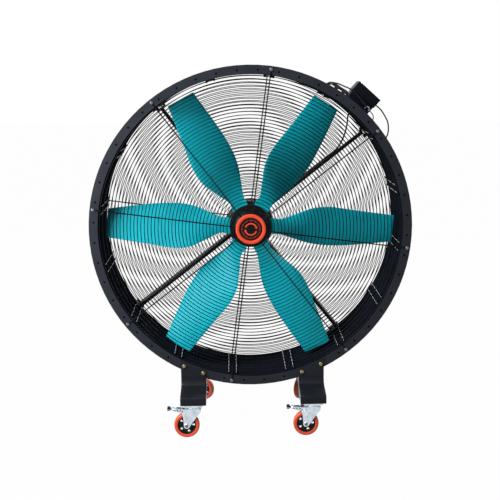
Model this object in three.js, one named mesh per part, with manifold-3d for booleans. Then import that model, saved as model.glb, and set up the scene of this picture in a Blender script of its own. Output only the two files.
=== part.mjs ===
// A 1.5 m class drum fan on casters, built as an assembly of its real pieces.
// Millimetres. X to the right, Y to the back, Z up, as seen from the front.
// The origin is on the floor, under the middle of the drum. The fan's axis runs along Y.

import * as THREE from 'three';
import { mergeVertices } from 'three/addons/utils/BufferGeometryUtils.js';
import Module from 'manifold-3d';

const wasm = await Module();
wasm.setup();

// ---------------------------------------------------------------- driving dimensions

const seat = 0.3;                   // gap left between two pieces that touch

// drum
const drumBore = 1508;              // inner diameter of the rolled sheet
const drumDepth = 390;
const drumWall = 2;
const flangeWidth = 44;             // how far the end flanges stand out from the sheet
const flangeThickness = 3;
const drumFacets = 96;
const channelCount = 16;            // stiffening channels on the inside of the drum
const channelWidth = 42;
const channelHeight = 12;
const channelSheet = 2.5;
const channelSetback = 7;           // from the drum's end to the channel's end
const firstRodAngle = -7.8;         // the fan stands turned by this much on its legs

// guards
const rodCount = 8;
const rodSize = 6;
const guardRings = 8;
const guardWire = 5;
const firstRingRadius = 92;
const rimRingGap = 8;               // between the last ring and the drum's bore
const rodEndInset = 17;             // flange's rim to the bolt that holds the rod's eye
const eyeRadius = 9.5;
const eyeThickness = 4;
const guardBoltRadius = 7;
const guardBoltHeight = 5;
const centrePlateRadius = 70;
const centrePlateThickness = 3;

// badge in the middle of the front guard
const badgeRadius = 75;
const badgeHole = 57.3;
const badgeThickness = 7.5;
const badgeDiscThickness = 3;

// rotor
const bladeCount = 6;
const firstBladeAngle = -2.1;
const bladeTipRadius = 720.5;
const bladeRootRadius = 52;
const bladeThickness = 10;          // at the clamped root
const bladePlane = -85;             // middle of the blades along the axis
const hubRadius = 105;
const hubPlate = 10;
const hubCoreRadius = 46;
const hubNose = 12;                 // how far the clamp plate's middle stands forward
const shaftRadius = 17;

// motor
const motorRadius = 122;
const motorFins = 16;
const finDepth = 7;
const motorFront = -45;
const motorBack = 80;
const bearingRadius = 30;
const bearingWidth = 12;

// motor mount
const mountPlateRadius = 98;
const mountPlateThickness = 8;
const armCount = 4;
const armWidth = 16;
const armSheet = 3;
const upperArmDepth = 40;
const lowerArmDepth = 105;
const armLean = [0.5, 0, 0.3, 1];   // degrees that each arm stands off its channel's middle line
const armFootWidth = 54;
const armFootThickness = 5;

// legs
const legCentre = 298;              // sideways from the middle
const legWidth = 128;
const legSheet = 4;
const footReach = 348;              // from the middle to the foot's front
const footFace = 40;                // height of the foot's front
const legRise = 57;                 // from the foot's underside up to the drum's lowest point
const kneeRise = 60;                // from the foot's underside to where the shelf would meet the plate
const kneeRadius = 32;
const noseRadius = 7;
const padLength = 100;              // plate that the caster bolts to
const archHalf = 215;
const archHeight = 60;
const legTopGap = 5;                // from the drum's bore to the leg's top edge
const legBoltInset = 23;            // from the flange's rim
const legBoltSpacing = 96;
const legBoltRadius = 6;
const boltHeadRadius = 10.4;
const boltHeadHeight = 7;

// casters
const wheelRadius = 63.5;
const wheelWidth = 32;
const coreRadius = 46;
const coreWidth = 22;
const wheelHub = 15;
const wheelHubLength = 37;
const wheelWindows = 5;
const trail = 35;
const axleRadius = 5;
const forkSheet = 3.5;
const forkGap = 39;
const forkTop = 152.5;
const crownRadius = 38;
const crownRise = 5.5;              // from the fork's top to the crown's
const cupRise = 18;                 // from the crown's top to the foot's underside
const kingPinRadius = 12;
const plateSize = 96;
const plateThickness = 5;
const cupHole = 31;
const casterFacets = 16;
const wheelFacets = 24;
const pedalWidth = 34;
const pedalPinRadius = 3.5;
const pedalPivot = [-56, 138];      // from the swivel axis, and above the floor

// control box on the drum's shoulder
const boxAngle = 47.8;
const boxRise = 30;                 // from the drum's sheet to the box's underside
const boxBaseHeight = 59;
const boxLidHeight = 54;
const boxLength = 136;
const boxFront = -60;
const boxBack = 55;
const boxWall = 2.5;
const lidOverhang = 3;
const bracketSheet = 3;
const bracketFoot = 20;
const bracketDepth = 80;
const glandRadius = 14;
const glandLength = 18;
const glandAt = [35.6, -47.4];      // up from the box's underside, and along it from its middle
const knobRadius = 17;
const knobLength = 15;
const spindleRadius = 4;
const knobAt = [29, 10];
const driveInset = 22;              // drive unit: from the box's outside, at its front and ends
const driveBackInset = 30;
const driveHeadroom = 32;           // from the drive unit's top to the box's

// leads
const motorLeadDiameter = 8;
const linkLeadDiameter = 7;
const earthLeadDiameter = 5;
const leadBossRadius = 11;
const leadBossHeight = 8;
const linkBossAngle = 31;
const earthBossAngle = 39.6;
const motorLeadAngle = 47.3;
const supplyDiameter = 7;

// supply lead's hank, tied up behind the front flange
const hankAngle = 57.4;
const hankBend = 24.65;             // radius at the middle of the end turns
const hankStraight = 68;
const hankBand = 14.6;              // two layers of cord
const hankDepth = 36;
const hankFront = -188;
const plugRadius = 18;
const plugLength = 26;
const plugTail = 30;
const plugPin = [2.4, 19];
const plugPinSpacing = 19;
const plugTurn = 8.2;               // degrees round the drum, from the hank to the plug
const plugY = -127;

// ---------------------------------------------------------------- sizes that follow

const boreRadius = drumBore / 2;
const shellRadius = boreRadius + drumWall;
const flangeRadius = shellRadius + flangeWidth;
const drumHalf = drumDepth / 2;
const lastRingRadius = boreRadius - rimRingGap;
const rodEndRadius = flangeRadius - rodEndInset;
const rodStep = 360 / rodCount;
const hubBack = bladePlane + bladeThickness / 2 + seat + hubPlate;
const hubFront = bladePlane - bladeThickness / 2 - seat - hubPlate;
const mountFront = motorBack + seat;
const crownTop = forkTop + crownRise;
const footBase = crownTop + cupRise;
const kneeHeight = footBase + kneeRise;
const axisHeight = footBase + legRise + flangeRadius;
const legPlateFront = -drumHalf - seat - legSheet;
const swivelAt = footReach - plateSize / 2;
const plateTop = footBase - seat;
const boxBottom = shellRadius + boxRise;
const boxSplit = boxBottom + boxBaseHeight;
const boxTop = boxSplit + boxLidHeight;
const glandPlace = [boxBottom + glandAt[0], glandAt[1]];
const knobPlace = [boxBottom + knobAt[0], knobAt[1]];
const legBoltCircle = flangeRadius - legBoltInset;
const hankRadius = shellRadius + seat + hankBend + hankBand / 2;
const rad = THREE.MathUtils.degToRad;

// ---------------------------------------------------------------- materials

const paint = (color, roughness = 0.45, metalness = 0.3) =>
  new THREE.MeshStandardMaterial({ color, roughness, metalness });

const blackPowderCoat = paint('#26282c', 0.5, 0.3);
const slateEnamel = paint('#3a3f47', 0.4, 0.3);
const blackWire = paint('#1c1e21', 0.4, 0.5);
const tealBlade = paint('#0fa3ab', 0.4, 0);
const orangePlate = paint('#e2573a', 0.4, 0);
const blackPlastic = paint('#141516', 0.6, 0);
const castMotor = paint('#2b2e33', 0.6, 0.4);
const zincPlate = paint('#c9ced3', 0.3, 0.9);
const yellowZinc = paint('#c2ab6a', 0.35, 0.9);
const orangeUrethane = paint('#e0592b', 0.45, 0);
const groundSteel = paint('#9aa0a6', 0.3, 1);
const cableSheath = paint('#17181a', 0.6, 0);
const greySheath = paint('#5c6167', 0.6, 0);

// ---------------------------------------------------------------- shaping tools

// A closed solid with merged corners and its faces pointing out.
function toSolid(geometry) {
  const bare = geometry.clone();
  bare.deleteAttribute('normal');
  bare.deleteAttribute('uv');
  const merged = mergeVertices(bare.index ? bare.toNonIndexed() : bare, 1e-4);
  const corners = merged.attributes.position.array;
  const faces = merged.index.array;
  const corner = (i) => new THREE.Vector3().fromArray(corners, 3 * i);
  const kept = [];
  let volume = 0;
  for (let i = 0; i < faces.length; i += 3) {
    const [a, b, c] = [faces[i], faces[i + 1], faces[i + 2]];
    if (a === b || b === c || c === a) continue;
    kept.push(a, b, c);
    volume += corner(a).dot(corner(b).cross(corner(c)));
  }
  const triVerts = new Uint32Array(volume < 0 ? kept.reverse() : kept);
  const vertProperties = new Float32Array(corners);
  return new wasm.Manifold(new wasm.Mesh({ numProp: 3, vertProperties, triVerts }));
}

function toGeometry(solid) {
  const { vertProperties, triVerts } = solid.getMesh();
  const geometry = new THREE.BufferGeometry();
  geometry.setAttribute('position', new THREE.BufferAttribute(new Float32Array(vertProperties), 3));
  geometry.setIndex([...triVerts]);
  return geometry;
}

function join(...parts) {
  return toGeometry(parts.map(toSolid).reduce((sum, part) => sum.add(part)));
}

function cut(body, ...tools) {
  return toGeometry(tools.map(toSolid).reduce((rest, tool) => rest.subtract(tool), toSolid(body)));
}

const closed = (geometry) => toGeometry(toSolid(geometry));

function outline(points) {
  return new THREE.Shape(points.map(([x, y]) => new THREE.Vector2(x, y)));
}

const rectangle = (x0, y0, x1, y1) => outline([[x0, y0], [x1, y0], [x1, y1], [x0, y1]]);

function ringPoints(radius, count, x = 0, y = 0, turn = 0) {
  return Array.from({ length: count }, (_, i) => {
    const angle = rad(turn + (360 * i) / count);
    return [x + radius * Math.cos(angle), y + radius * Math.sin(angle)];
  });
}

const extrude = (shape, depth, curveSegments = 6) =>
  new THREE.ExtrudeGeometry(shape, { depth, bevelEnabled: false, curveSegments });

// Outline in X and Z, pushed along Y.
const alongY = (shape, from, to, curveSegments) =>
  extrude(shape, to - from, curveSegments).rotateX(Math.PI / 2).translate(0, to, 0);

// Outline in Y and Z, pushed along X.
const yzToXyz = new THREE.Matrix4().set(0, 0, 1, 0, 1, 0, 0, 0, 0, 1, 0, 0, 0, 0, 0, 1);
const alongX = (shape, from, to, curveSegments) =>
  extrude(shape, to - from, curveSegments).applyMatrix4(yzToXyz).translate(from, 0, 0);

const alongZ = (shape, from, to) => extrude(shape, to - from).translate(0, 0, from);

const block = (x0, x1, y0, y1, z0, z1) =>
  new THREE.BoxGeometry(x1 - x0, y1 - y0, z1 - z0)
    .translate((x0 + x1) / 2, (y0 + y1) / 2, (z0 + z1) / 2);

// Revolved about Y: each point is a radius and a place along the axis.
const turned = (points, facets) =>
  new THREE.LatheGeometry(points.map(([r, y]) => new THREE.Vector2(r, y)), facets);

const turnedAboutZ = (points, facets) => turned(points, facets).rotateX(Math.PI / 2);

// Turned about X, so that its axis is the radial direction at angle 0.
const turnedAboutX = (points, facets) => turned(points, facets).rotateZ(-Math.PI / 2);

const cylinderY = (radius, from, to, facets, x = 0, z = 0) =>
  turned([[0, from], [radius, from], [radius, to], [0, to]], facets).translate(x, 0, z);

const atAngle = (geometry, degrees) => geometry.rotateY(-rad(degrees));

const polar = (radius, degrees, y = 0) =>
  new THREE.Vector3(radius * Math.cos(rad(degrees)), y, radius * Math.sin(rad(degrees)));

// A round cable along a smooth line through the points.
function cable(points, diameter, steps, sides = 6) {
  const path = new THREE.CatmullRomCurve3(points, false, 'centripetal');
  const section = outline(ringPoints(diameter / 2, sides));
  return closed(new THREE.ExtrudeGeometry(section, { steps, extrudePath: path, bevelEnabled: false }));
}

const fan = new THREE.Group();
const drum = new THREE.Group();
drum.position.z = axisHeight;
fan.add(drum);

function piece(name, geometry, material, parent = fan) {
  const mesh = new THREE.Mesh(geometry, material);
  mesh.name = name;
  parent.add(mesh);
}

// ---------------------------------------------------------------- drum

// Rolled sheet with a flat flange at each end.
function drumSheet() {
  const lip = drumHalf - flangeThickness;
  return turned([
    [boreRadius, -drumHalf], [flangeRadius, -drumHalf], [flangeRadius, -lip], [shellRadius, -lip],
    [shellRadius, lip], [flangeRadius, lip], [flangeRadius, drumHalf], [boreRadius, drumHalf],
    [boreRadius, -drumHalf],
  ], drumFacets);
}

// Folded channel welded to the bore, open towards the axis.
function drumChannel(angle) {
  const out = boreRadius + drumWall * 0.4;
  const base = boreRadius - channelSheet;
  const rim = boreRadius - channelHeight;
  const half = channelWidth / 2;
  const inner = half - channelSheet;
  const section = outline([
    [out, -half], [out, half], [rim, half], [rim, inner],
    [base, inner], [base, -inner], [rim, -inner], [rim, -half],
  ]);
  const end = drumHalf - channelSetback;
  return atAngle(alongY(section, -end, end), angle);
}

const legBoltPlaces = [-1, 1].flatMap((side) => [-0.5, 0.5].map((step) => {
  const x = side * legCentre + step * legBoltSpacing;
  return [x, -Math.sqrt(legBoltCircle ** 2 - x ** 2)];
}));

function legBoltHoles(x, z) {
  const depth = drumHalf + 2 * legSheet;
  return cylinderY(legBoltRadius + 0.5, -depth, depth, 12, x, z);
}

const leadBoss = (angle, y) => atAngle(turnedAboutX([
  [0, shellRadius - drumWall * 0.6], [leadBossRadius, shellRadius - drumWall * 0.6],
  [leadBossRadius, shellRadius + leadBossHeight], [0, shellRadius + leadBossHeight],
], 12).translate(0, y, 0), angle);

const motorLeadY = 22;
const linkLeadY = 5;
const earthLeadY = -20;

function drumShell() {
  const channels = Array.from({ length: channelCount }, (_, i) =>
    drumChannel(firstRodAngle + (360 / channelCount) * i));
  const bosses = [leadBoss(linkBossAngle, linkLeadY), leadBoss(earthBossAngle, earthLeadY)];
  const leadHole = atAngle(turnedAboutX([
    [0, boreRadius - 20], [motorLeadDiameter / 2 + 2, boreRadius - 20],
    [motorLeadDiameter / 2 + 2, shellRadius + 20], [0, shellRadius + 20],
  ], 12).translate(0, motorLeadY, 0), motorLeadAngle);
  return cut(
    join(drumSheet(), ...channels, ...bosses),
    leadHole,
    ...legBoltPlaces.map(([x, z]) => legBoltHoles(x, z)),
  );
}

piece('drum_shell', drumShell(), blackPowderCoat, drum);

// ---------------------------------------------------------------- guards

// Concentric wires welded behind radial rods. Side is -1 at the front and 1 at the back.
function guard(side) {
  const face = drumHalf + seat;
  const wireAt = face - guardWire * 0.3;
  const half = guardWire / 2;
  const step = (lastRingRadius - firstRingRadius) / (guardRings - 1);
  const parts = [];
  for (let i = 0; i < guardRings; i += 1) {
    const r = firstRingRadius + step * i;
    const facets = 8 * Math.ceil(r / 250);
    const wire = [[r, wireAt + half], [r + half, wireAt - half], [r - half, wireAt - half]];
    parts.push(turned([...wire, wire[0]], facets));
  }
  for (let i = 0; i < rodCount; i += 1) {
    const angle = firstRodAngle + rodStep * i;
    const rod = block(centrePlateRadius - 5, rodEndRadius, face, face + rodSize, -rodSize / 2, rodSize / 2);
    const eye = cylinderY(eyeRadius, face, face + eyeThickness, 8, rodEndRadius);
    const bolt = cylinderY(guardBoltRadius, face + 1, face + rodSize + guardBoltHeight, 6, rodEndRadius);
    parts.push(atAngle(rod, angle), atAngle(eye, angle), atAngle(bolt, angle));
  }
  const plateBack = face + rodSize - centrePlateThickness;
  parts.push(cylinderY(centrePlateRadius, plateBack, face + rodSize, 24));
  return join(...parts.map((part) => part.scale(1, side, 1)));
}

piece('front_guard', guard(-1), blackWire, drum);
piece('rear_guard', guard(1), blackWire, drum);

// ---------------------------------------------------------------- badge

const badgeBack = -drumHalf - 2 * seat - rodSize;

function badgeRing() {
  const front = badgeBack - badgeThickness;
  const slope = 2.5;
  return closed(turned([
    [badgeHole, badgeBack], [badgeHole, front + slope], [badgeHole + slope, front],
    [badgeRadius - slope, front], [badgeRadius, front + slope], [badgeRadius, badgeBack],
    [badgeHole, badgeBack],
  ], 32));
}

const badgeDisc = () =>
  closed(cylinderY(badgeHole - seat, badgeBack - badgeDiscThickness, badgeBack, 32));

piece('badge_ring', badgeRing(), orangePlate, drum);
piece('badge_disc', badgeDisc(), blackPlastic, drum);

// ---------------------------------------------------------------- rotor

// Values along the blade, on a smooth curve through a few stations.
function along(stations, r) {
  const last = stations.length - 1;
  const next = Math.min(last, Math.max(1, stations.findIndex(([at]) => at >= r)));
  const [[r0, v0], [r1, v1]] = [stations[next - 1], stations[next]];
  const slope = (i) => {
    const [[ra, va], [rb, vb]] = [stations[Math.max(0, i - 1)], stations[Math.min(last, i + 1)]];
    return (vb - va) / (rb - ra);
  };
  const t = Math.min(1, Math.max(0, (r - r0) / (r1 - r0)));
  const [m0, m1] = [slope(next - 1) * (r1 - r0), slope(next) * (r1 - r0)];
  const [t2, t3] = [t * t, t * t * t];
  return v0 * (2 * t3 - 3 * t2 + 1) + m0 * (t3 - 2 * t2 + t) + v1 * (3 * t2 - 2 * t3) + m1 * (t3 - t2);
}

const tip = bladeTipRadius;
// Half widths seen from the front, ahead of and behind the blade's centre line.
const leadingEdge = [
  [bladeRootRadius, 24], [hubRadius, 42], [150, 38], [215, 66], [305, 104], [390, 112], [520, 96], [tip, 72],
];
const trailingEdge = [
  [bladeRootRadius, 24], [hubRadius, 39], [150, 42], [215, 64], [290, 89], [365, 100], [480, 98], [tip, 69],
];
const bladePitch = [[hubRadius + 5, 0], [240, 30], [430, 25], [tip, 16]];
const bladeSection = [[hubRadius + 5, bladeThickness], [240, 8], [tip, 5]];

const bladeStations = [bladeRootRadius, hubRadius + 4, 148, 212, 287, 368, 460, 590, tip];

// A moulded paddle: flat where the hub clamps it, then twisted, cambered and tapered.
function blade(angle) {
  const stations = 4;
  const front = Array.from({ length: stations + 1 }, (_, i) => [-1 + (2 * i) / stations, -1]);
  const back = front.slice(1, -1).reverse().map(([s]) => [s, 1]);
  const ends = [[1, 1], [-1, 1]];
  const section = outline([...front, ends[0], ...back, ends[1]]);
  const steps = bladeStations.length - 1;
  const geometry = new THREE.ExtrudeGeometry(section, { depth: steps, steps, bevelEnabled: false });
  const place = geometry.attributes.position;
  for (let i = 0; i < place.count; i += 1) {
    const [s, face, span] = [place.getX(i), place.getY(i), place.getZ(i)];
    const r = bladeStations[Math.round(span)];
    const reach = s > 0 ? along(leadingEdge, r) : along(trailingEdge, r);
    const pitch = rad(along(bladePitch, r));
    const flat = Math.min(1, Math.max(0, (r - hubRadius - 5) / 120));
    const thickness = r < hubRadius + 5 ? bladeThickness : along(bladeSection, r);
    const fullness = 1 - 0.55 * flat * s * s;
    const camber = 0.09 * reach * flat * (1 - s * s);
    const v = s * reach;
    place.setXYZ(i, r, bladePlane - v * Math.tan(pitch) - camber + face * thickness * fullness / 2, v);
  }
  return closed(atAngle(geometry, angle));
}

// Rear hub plate with the boss that sits on the shaft.
function rotorHub() {
  const plateFront = hubBack - hubPlate;
  const bore = shaftRadius + seat;
  const bossBack = hubBack + 8;
  return closed(turned([
    [bore, hubFront + hubPlate + seat], [hubCoreRadius, hubFront + hubPlate + seat],
    [hubCoreRadius, plateFront], [hubRadius, plateFront], [hubRadius, hubBack],
    [hubCoreRadius, hubBack], [hubCoreRadius - 8, bossBack], [bore, bossBack],
    [bore, hubFront + hubPlate + seat],
  ], 32));
}

// Front plate, dished forward, that clamps the blade roots against the hub.
function clampPlate() {
  const back = hubFront + hubPlate;
  const nose = hubFront - hubNose;
  return closed(turned([
    [0, back], [hubRadius, back], [hubRadius, hubFront + 3], [hubRadius - 4, hubFront],
    [hubRadius - 26, hubFront], [hubRadius - 45, nose + 2], [hubRadius - 52, nose], [0, nose],
  ], 32));
}

piece('rotor_hub', rotorHub(), blackPowderCoat, drum);
piece('hub_clamp_plate', clampPlate(), blackPowderCoat, drum);
for (let i = 0; i < bladeCount; i += 1) {
  piece(`blade_${i + 1}`, blade(firstBladeAngle + (360 / bladeCount) * i), tealBlade, drum);
}

const shaftDepth = 65;              // how far the shaft reaches into the motor
const shaft = closed(cylinderY(
  shaftRadius, hubFront + hubPlate + 2 * seat, motorFront + shaftDepth, 20));
piece('motor_shaft', shaft, groundSteel, drum);

// ---------------------------------------------------------------- motor

const armAngle = firstRodAngle + rodStep;
const leadOnArm = armWidth / 2 + motorLeadDiameter / 2 + 1.2;
const motorBossRadius = 8;
const motorBossReach = 12;
const motorBossY = 62;
const motorBossAngle = armAngle + armLean[0]
  + THREE.MathUtils.radToDeg(Math.asin(leadOnArm / (motorRadius + motorBossReach)));

// Finned housing with a bearing seat at the front.
function motorBody() {
  const teeth = Array.from({ length: motorFins }, (_, i) => {
    const pitchAngle = 360 / motorFins;
    const at = (share, r) => [
      r * Math.cos(rad(pitchAngle * (i + share))), r * Math.sin(rad(pitchAngle * (i + share)))];
    const low = motorRadius - finDepth;
    return [at(0, low), at(0.3, motorRadius), at(0.6, motorRadius), at(0.9, low)];
  }).flat();
  const finned = alongY(outline(teeth), motorFront + 16, motorBack - 18);
  const core = turned([
    [0, motorFront], [motorRadius - 30, motorFront], [motorRadius - 4, motorFront + 6],
    [motorRadius - 4, motorFront + 18], [motorRadius - finDepth - 2, motorFront + 20],
    [motorRadius - finDepth - 2, motorBack - 20], [motorRadius - 4, motorBack - 18],
    [motorRadius - 4, motorBack], [0, motorBack],
  ], 32);
  const boss = atAngle(turnedAboutX([
    [0, motorRadius - 15], [motorBossRadius, motorRadius - 15],
    [motorBossRadius, motorRadius + motorBossReach], [0, motorRadius + motorBossReach],
  ], 12).translate(0, motorBossY, 0), motorBossAngle);
  const bearingSeat = cylinderY(bearingRadius + seat, motorFront - 5, motorFront + bearingWidth, 20);
  const bore = cylinderY(shaftRadius + 1, motorFront - 5, motorFront + shaftDepth + 2, 20);
  return cut(join(finned, core, boss), bearingSeat, bore);
}

function bearing() {
  const [inner, outer] = [shaftRadius + seat, bearingRadius];
  const [front, back] = [motorFront + seat, motorFront + bearingWidth - seat];
  return closed(turned(
    [[inner, front], [outer, front], [outer, back], [inner, back], [inner, front]], 20));
}

piece('motor_body', motorBody(), castMotor, drum);
piece('motor_bearing', bearing(), groundSteel, drum);

// Folded arm, open at the back, from the centre plate out to the drum's channel.
function mountArm(angle, lean, depth) {
  const back = mountFront + depth;
  const half = armWidth / 2;
  const inner = half - armSheet;
  const section = outline([
    [mountFront, -half], [back, -half], [back, -inner], [mountFront + armSheet, -inner],
    [mountFront + armSheet, inner], [back, inner], [back, half], [mountFront, half],
  ]);
  const footOut = boreRadius - channelHeight - seat;
  const footIn = footOut - armFootThickness;
  const arm = alongX(section, bearingRadius + 10, footOut - 1);
  const foot = block(footIn, footOut, mountFront, back, -armFootWidth / 2, armFootWidth / 2);
  return [atAngle(arm, angle + lean), atAngle(foot, angle)];
}

function motorMount() {
  const plate = turned([
    [bearingRadius, mountFront], [mountPlateRadius, mountFront],
    [mountPlateRadius, mountFront + mountPlateThickness],
    [bearingRadius, mountFront + mountPlateThickness], [bearingRadius, mountFront],
  ], 24);
  const arms = Array.from({ length: armCount }, (_, i) => {
    const angle = armAngle + (360 / armCount) * i;
    return mountArm(angle, armLean[i], i < 2 ? upperArmDepth : lowerArmDepth);
  }).flat();
  return join(plate, ...arms);
}

piece('motor_mount', motorMount(), blackPowderCoat, drum);

// ---------------------------------------------------------------- legs

// The bent front plate seen from the side, from its top down to the foot; the inner line is inset.
function frontLine(inset) {
  const plate = legPlateFront + inset;
  const nose = -footReach + inset;
  const shelf = footBase + footFace - inset;
  const knee = kneeHeight - inset;
  const slope = (knee - shelf) / (plate - nose);
  const path = new THREE.Path();
  path.moveTo(plate, axisHeight - boreRadius + 90);
  path.lineTo(plate, knee + kneeRadius);
  path.quadraticCurveTo(plate, knee, plate - kneeRadius, knee - slope * kneeRadius);
  path.lineTo(nose + noseRadius, shelf + slope * noseRadius);
  path.quadraticCurveTo(nose, shelf, nose, shelf - noseRadius);
  path.lineTo(nose, footBase);
  return path.getPoints(5).map(({ x, y }) => [x, y]);
}

function leg(side) {
  const x0 = side * legCentre - legWidth / 2;
  const x1 = side * legCentre + legWidth / 2;
  const outer = frontLine(0);
  const mirrored = (points) => points.map(([y, z]) => [-y, z]);
  const skin = outline([...outer, ...frontLine(legSheet).reverse()]);
  const skinBack = outline([...mirrored(outer), ...mirrored(frontLine(legSheet)).reverse()]);
  const arch = Array.from({ length: 9 }, (_, i) => {
    const angle = Math.PI * (1 - i / 8);
    return [archHalf * Math.cos(angle), footBase + archHeight * Math.sin(angle)];
  });
  const cheek = outline([...outer, ...arch, ...mirrored(outer).reverse()]);
  const body = join(
    alongX(skin, x0, x1),
    alongX(skinBack, x0, x1),
    alongX(cheek, x0, x0 + legSheet),
    alongX(cheek, x1 - legSheet, x1),
    block(x0, x1, -footReach, -footReach + padLength, footBase, footBase + legSheet),
    block(x0, x1, footReach - padLength, footReach, footBase, footBase + legSheet),
  );
  const lift = (geometry) => geometry.translate(0, 0, axisHeight);
  const betweenFlanges = drumHalf + seat;
  const flangeRoom = lift(cylinderY(flangeRadius + 1, -betweenFlanges, betweenFlanges, drumFacets));
  const topEdge = lift(cylinderY(boreRadius + legTopGap, -footReach, footReach, drumFacets));
  const holes = legBoltPlaces.filter(([x]) => x * side > 0).map(([x, z]) => lift(legBoltHoles(x, z)));
  return cut(body, flangeRoom, topEdge, ...holes);
}

// Hexagon bolt with its nut, through the leg's plate and the flange.
function legBolt(x, z, side) {
  const head = drumHalf + legSheet + 2 * seat;
  const nut = drumHalf - flangeThickness - seat;
  const profile = [
    [0, head + boltHeadHeight], [boltHeadRadius, head + boltHeadHeight], [boltHeadRadius, head],
    [legBoltRadius, head], [legBoltRadius, nut], [boltHeadRadius, nut],
    [boltHeadRadius, nut - boltHeadHeight], [0, nut - boltHeadHeight],
  ];
  return closed(turned(profile, 6).scale(1, side, 1).translate(x, 0, z + axisHeight));
}

piece('left_leg', leg(-1), blackPowderCoat);
piece('right_leg', leg(1), blackPowderCoat);
legBoltPlaces.forEach(([x, z], i) => {
  piece(`front_leg_bolt_${i + 1}`, legBolt(x, z, -1), yellowZinc);
  piece(`rear_leg_bolt_${i + 1}`, legBolt(x, z, 1), yellowZinc);
});

// ---------------------------------------------------------------- casters

// Bolt-on plate with the bearing cup that the fork turns in.
function casterPlate() {
  const half = plateSize / 2;
  const corner = 10;
  const sheet = alongZ(outline([
    [-half + corner, -half], [half - corner, -half], [half, -half + corner], [half, half - corner],
    [half - corner, half], [-half + corner, half], [-half, half - corner], [-half, -half + corner],
  ]), plateTop - plateThickness, plateTop);
  const cupTop = plateTop - plateThickness + 1;
  const cup = turnedAboutZ([
    [cupHole, crownTop + seat], [crownRadius - 2, crownTop + seat], [crownRadius, crownTop + 5],
    [crownRadius, cupTop], [cupHole, cupTop], [cupHole, crownTop + seat],
  ], casterFacets);
  return join(sheet, cup);
}

// Pressed fork: a crown under the cup, a bridge and two cheeks that taper down to the axle.
function casterFork() {
  const bridgeFront = -62;
  const bridgeBack = crownRadius;
  const top = forkTop;
  const cheekHalf = forkGap / 2 + forkSheet;
  const eye = 15;
  const nose = Array.from({ length: 6 }, (_, i) => {
    const angle = rad(-170 + (150 * i) / 5);
    return [-trail + eye * Math.cos(angle), wheelRadius + eye * Math.sin(angle)];
  });
  const cheek = outline([
    ...nose, [14, 107], [bridgeBack - 2, 136], [bridgeBack, 143], [bridgeBack, top],
    [bridgeFront, top], [bridgeFront, 143], [-53, 112],
  ]);
  const pinHole = cylinderY(axleRadius + seat, -cheekHalf - 5, cheekHalf + 5, 12, -trail, wheelRadius);
  const [px, pz] = pedalPivot;
  const pedalHole = cylinderY(pedalPinRadius + 0.4, -cheekHalf - 5, cheekHalf + 5, 10, px, pz);
  const body = join(
    alongY(cheek, -cheekHalf, -cheekHalf + forkSheet),
    alongY(cheek, cheekHalf - forkSheet, cheekHalf),
    block(bridgeFront, bridgeBack, -cheekHalf, cheekHalf, top - forkSheet, top),
    turnedAboutZ([
      [0, top - forkSheet], [crownRadius - 3, top - forkSheet], [crownRadius, top],
      [crownRadius, crownTop], [kingPinRadius, crownTop], [kingPinRadius, crownTop + 9], [0, crownTop + 9],
    ], casterFacets),
  );
  return [body, pinHole, pedalHole];
}

function axle() {
  const end = forkGap / 2 + forkSheet + seat;
  const head = 8.5;
  return closed(turned([
    [0, -end - 5], [head, -end - 5], [head, -end], [axleRadius, -end],
    [axleRadius, end], [head, end], [head, end + 6], [0, end + 6],
  ], 8));
}

// Moulded core with five windows between its hub and rim.
function wheelCore() {
  const disc = outline(ringPoints(coreRadius, wheelFacets, 0, 0, 180 / wheelFacets));
  const [low, high] = [wheelHub + 11, coreRadius - 6];
  for (let i = 0; i < wheelWindows; i += 1) {
    const middle = (360 / wheelWindows) * i;
    const arc = (r, from, to) => [0, 1].map((t) => {
      const angle = rad(middle + from + (to - from) * t);
      return new THREE.Vector2(r * Math.cos(angle), r * Math.sin(angle));
    });
    disc.holes.push(new THREE.Path([...arc(high, -13, 13), ...arc(low, 10, -10)]));
  }
  const hub = turned([
    [0, -wheelHubLength / 2], [wheelHub, -wheelHubLength / 2],
    [wheelHub, wheelHubLength / 2], [0, wheelHubLength / 2],
  ], 16);
  const bore = cylinderY(axleRadius + seat, -wheelHubLength, wheelHubLength, 10);
  return cut(join(alongY(disc, -coreWidth / 2, coreWidth / 2), hub), bore);
}

// The wheel stands on one of its flats, so its corners lie a little outside the true radius.
function tread() {
  const inner = coreRadius + seat;
  const half = wheelWidth / 2;
  const r = wheelRadius / Math.cos(Math.PI / wheelFacets);
  return closed(turned([
    [inner, -half + 2], [r - 6, -half], [r, -half + 9],
    [r, half - 9], [r - 6, half], [inner, half - 2], [inner, -half + 2],
  ], wheelFacets).rotateY(Math.PI / wheelFacets));
}

// Foot pedal on a cross pin between the fork's cheeks.
function brakePedal() {
  const [px, pz] = pedalPivot;
  const lever = outline([
    [-49, 131], [-62, 129], [-80, 134], [-106, 142], [-118, 138], [-131, 137],
    [-131, 158], [-118, 159], [-108, 153], [-66, 150], [-60, 146], [-49, 146],
  ]);
  const pinEnd = forkGap / 2 + forkSheet;
  return join(
    alongY(lever, -pedalWidth / 2, pedalWidth / 2),
    cylinderY(pedalPinRadius, -pinEnd, pinEnd, 8, px, pz),
  );
}

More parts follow.
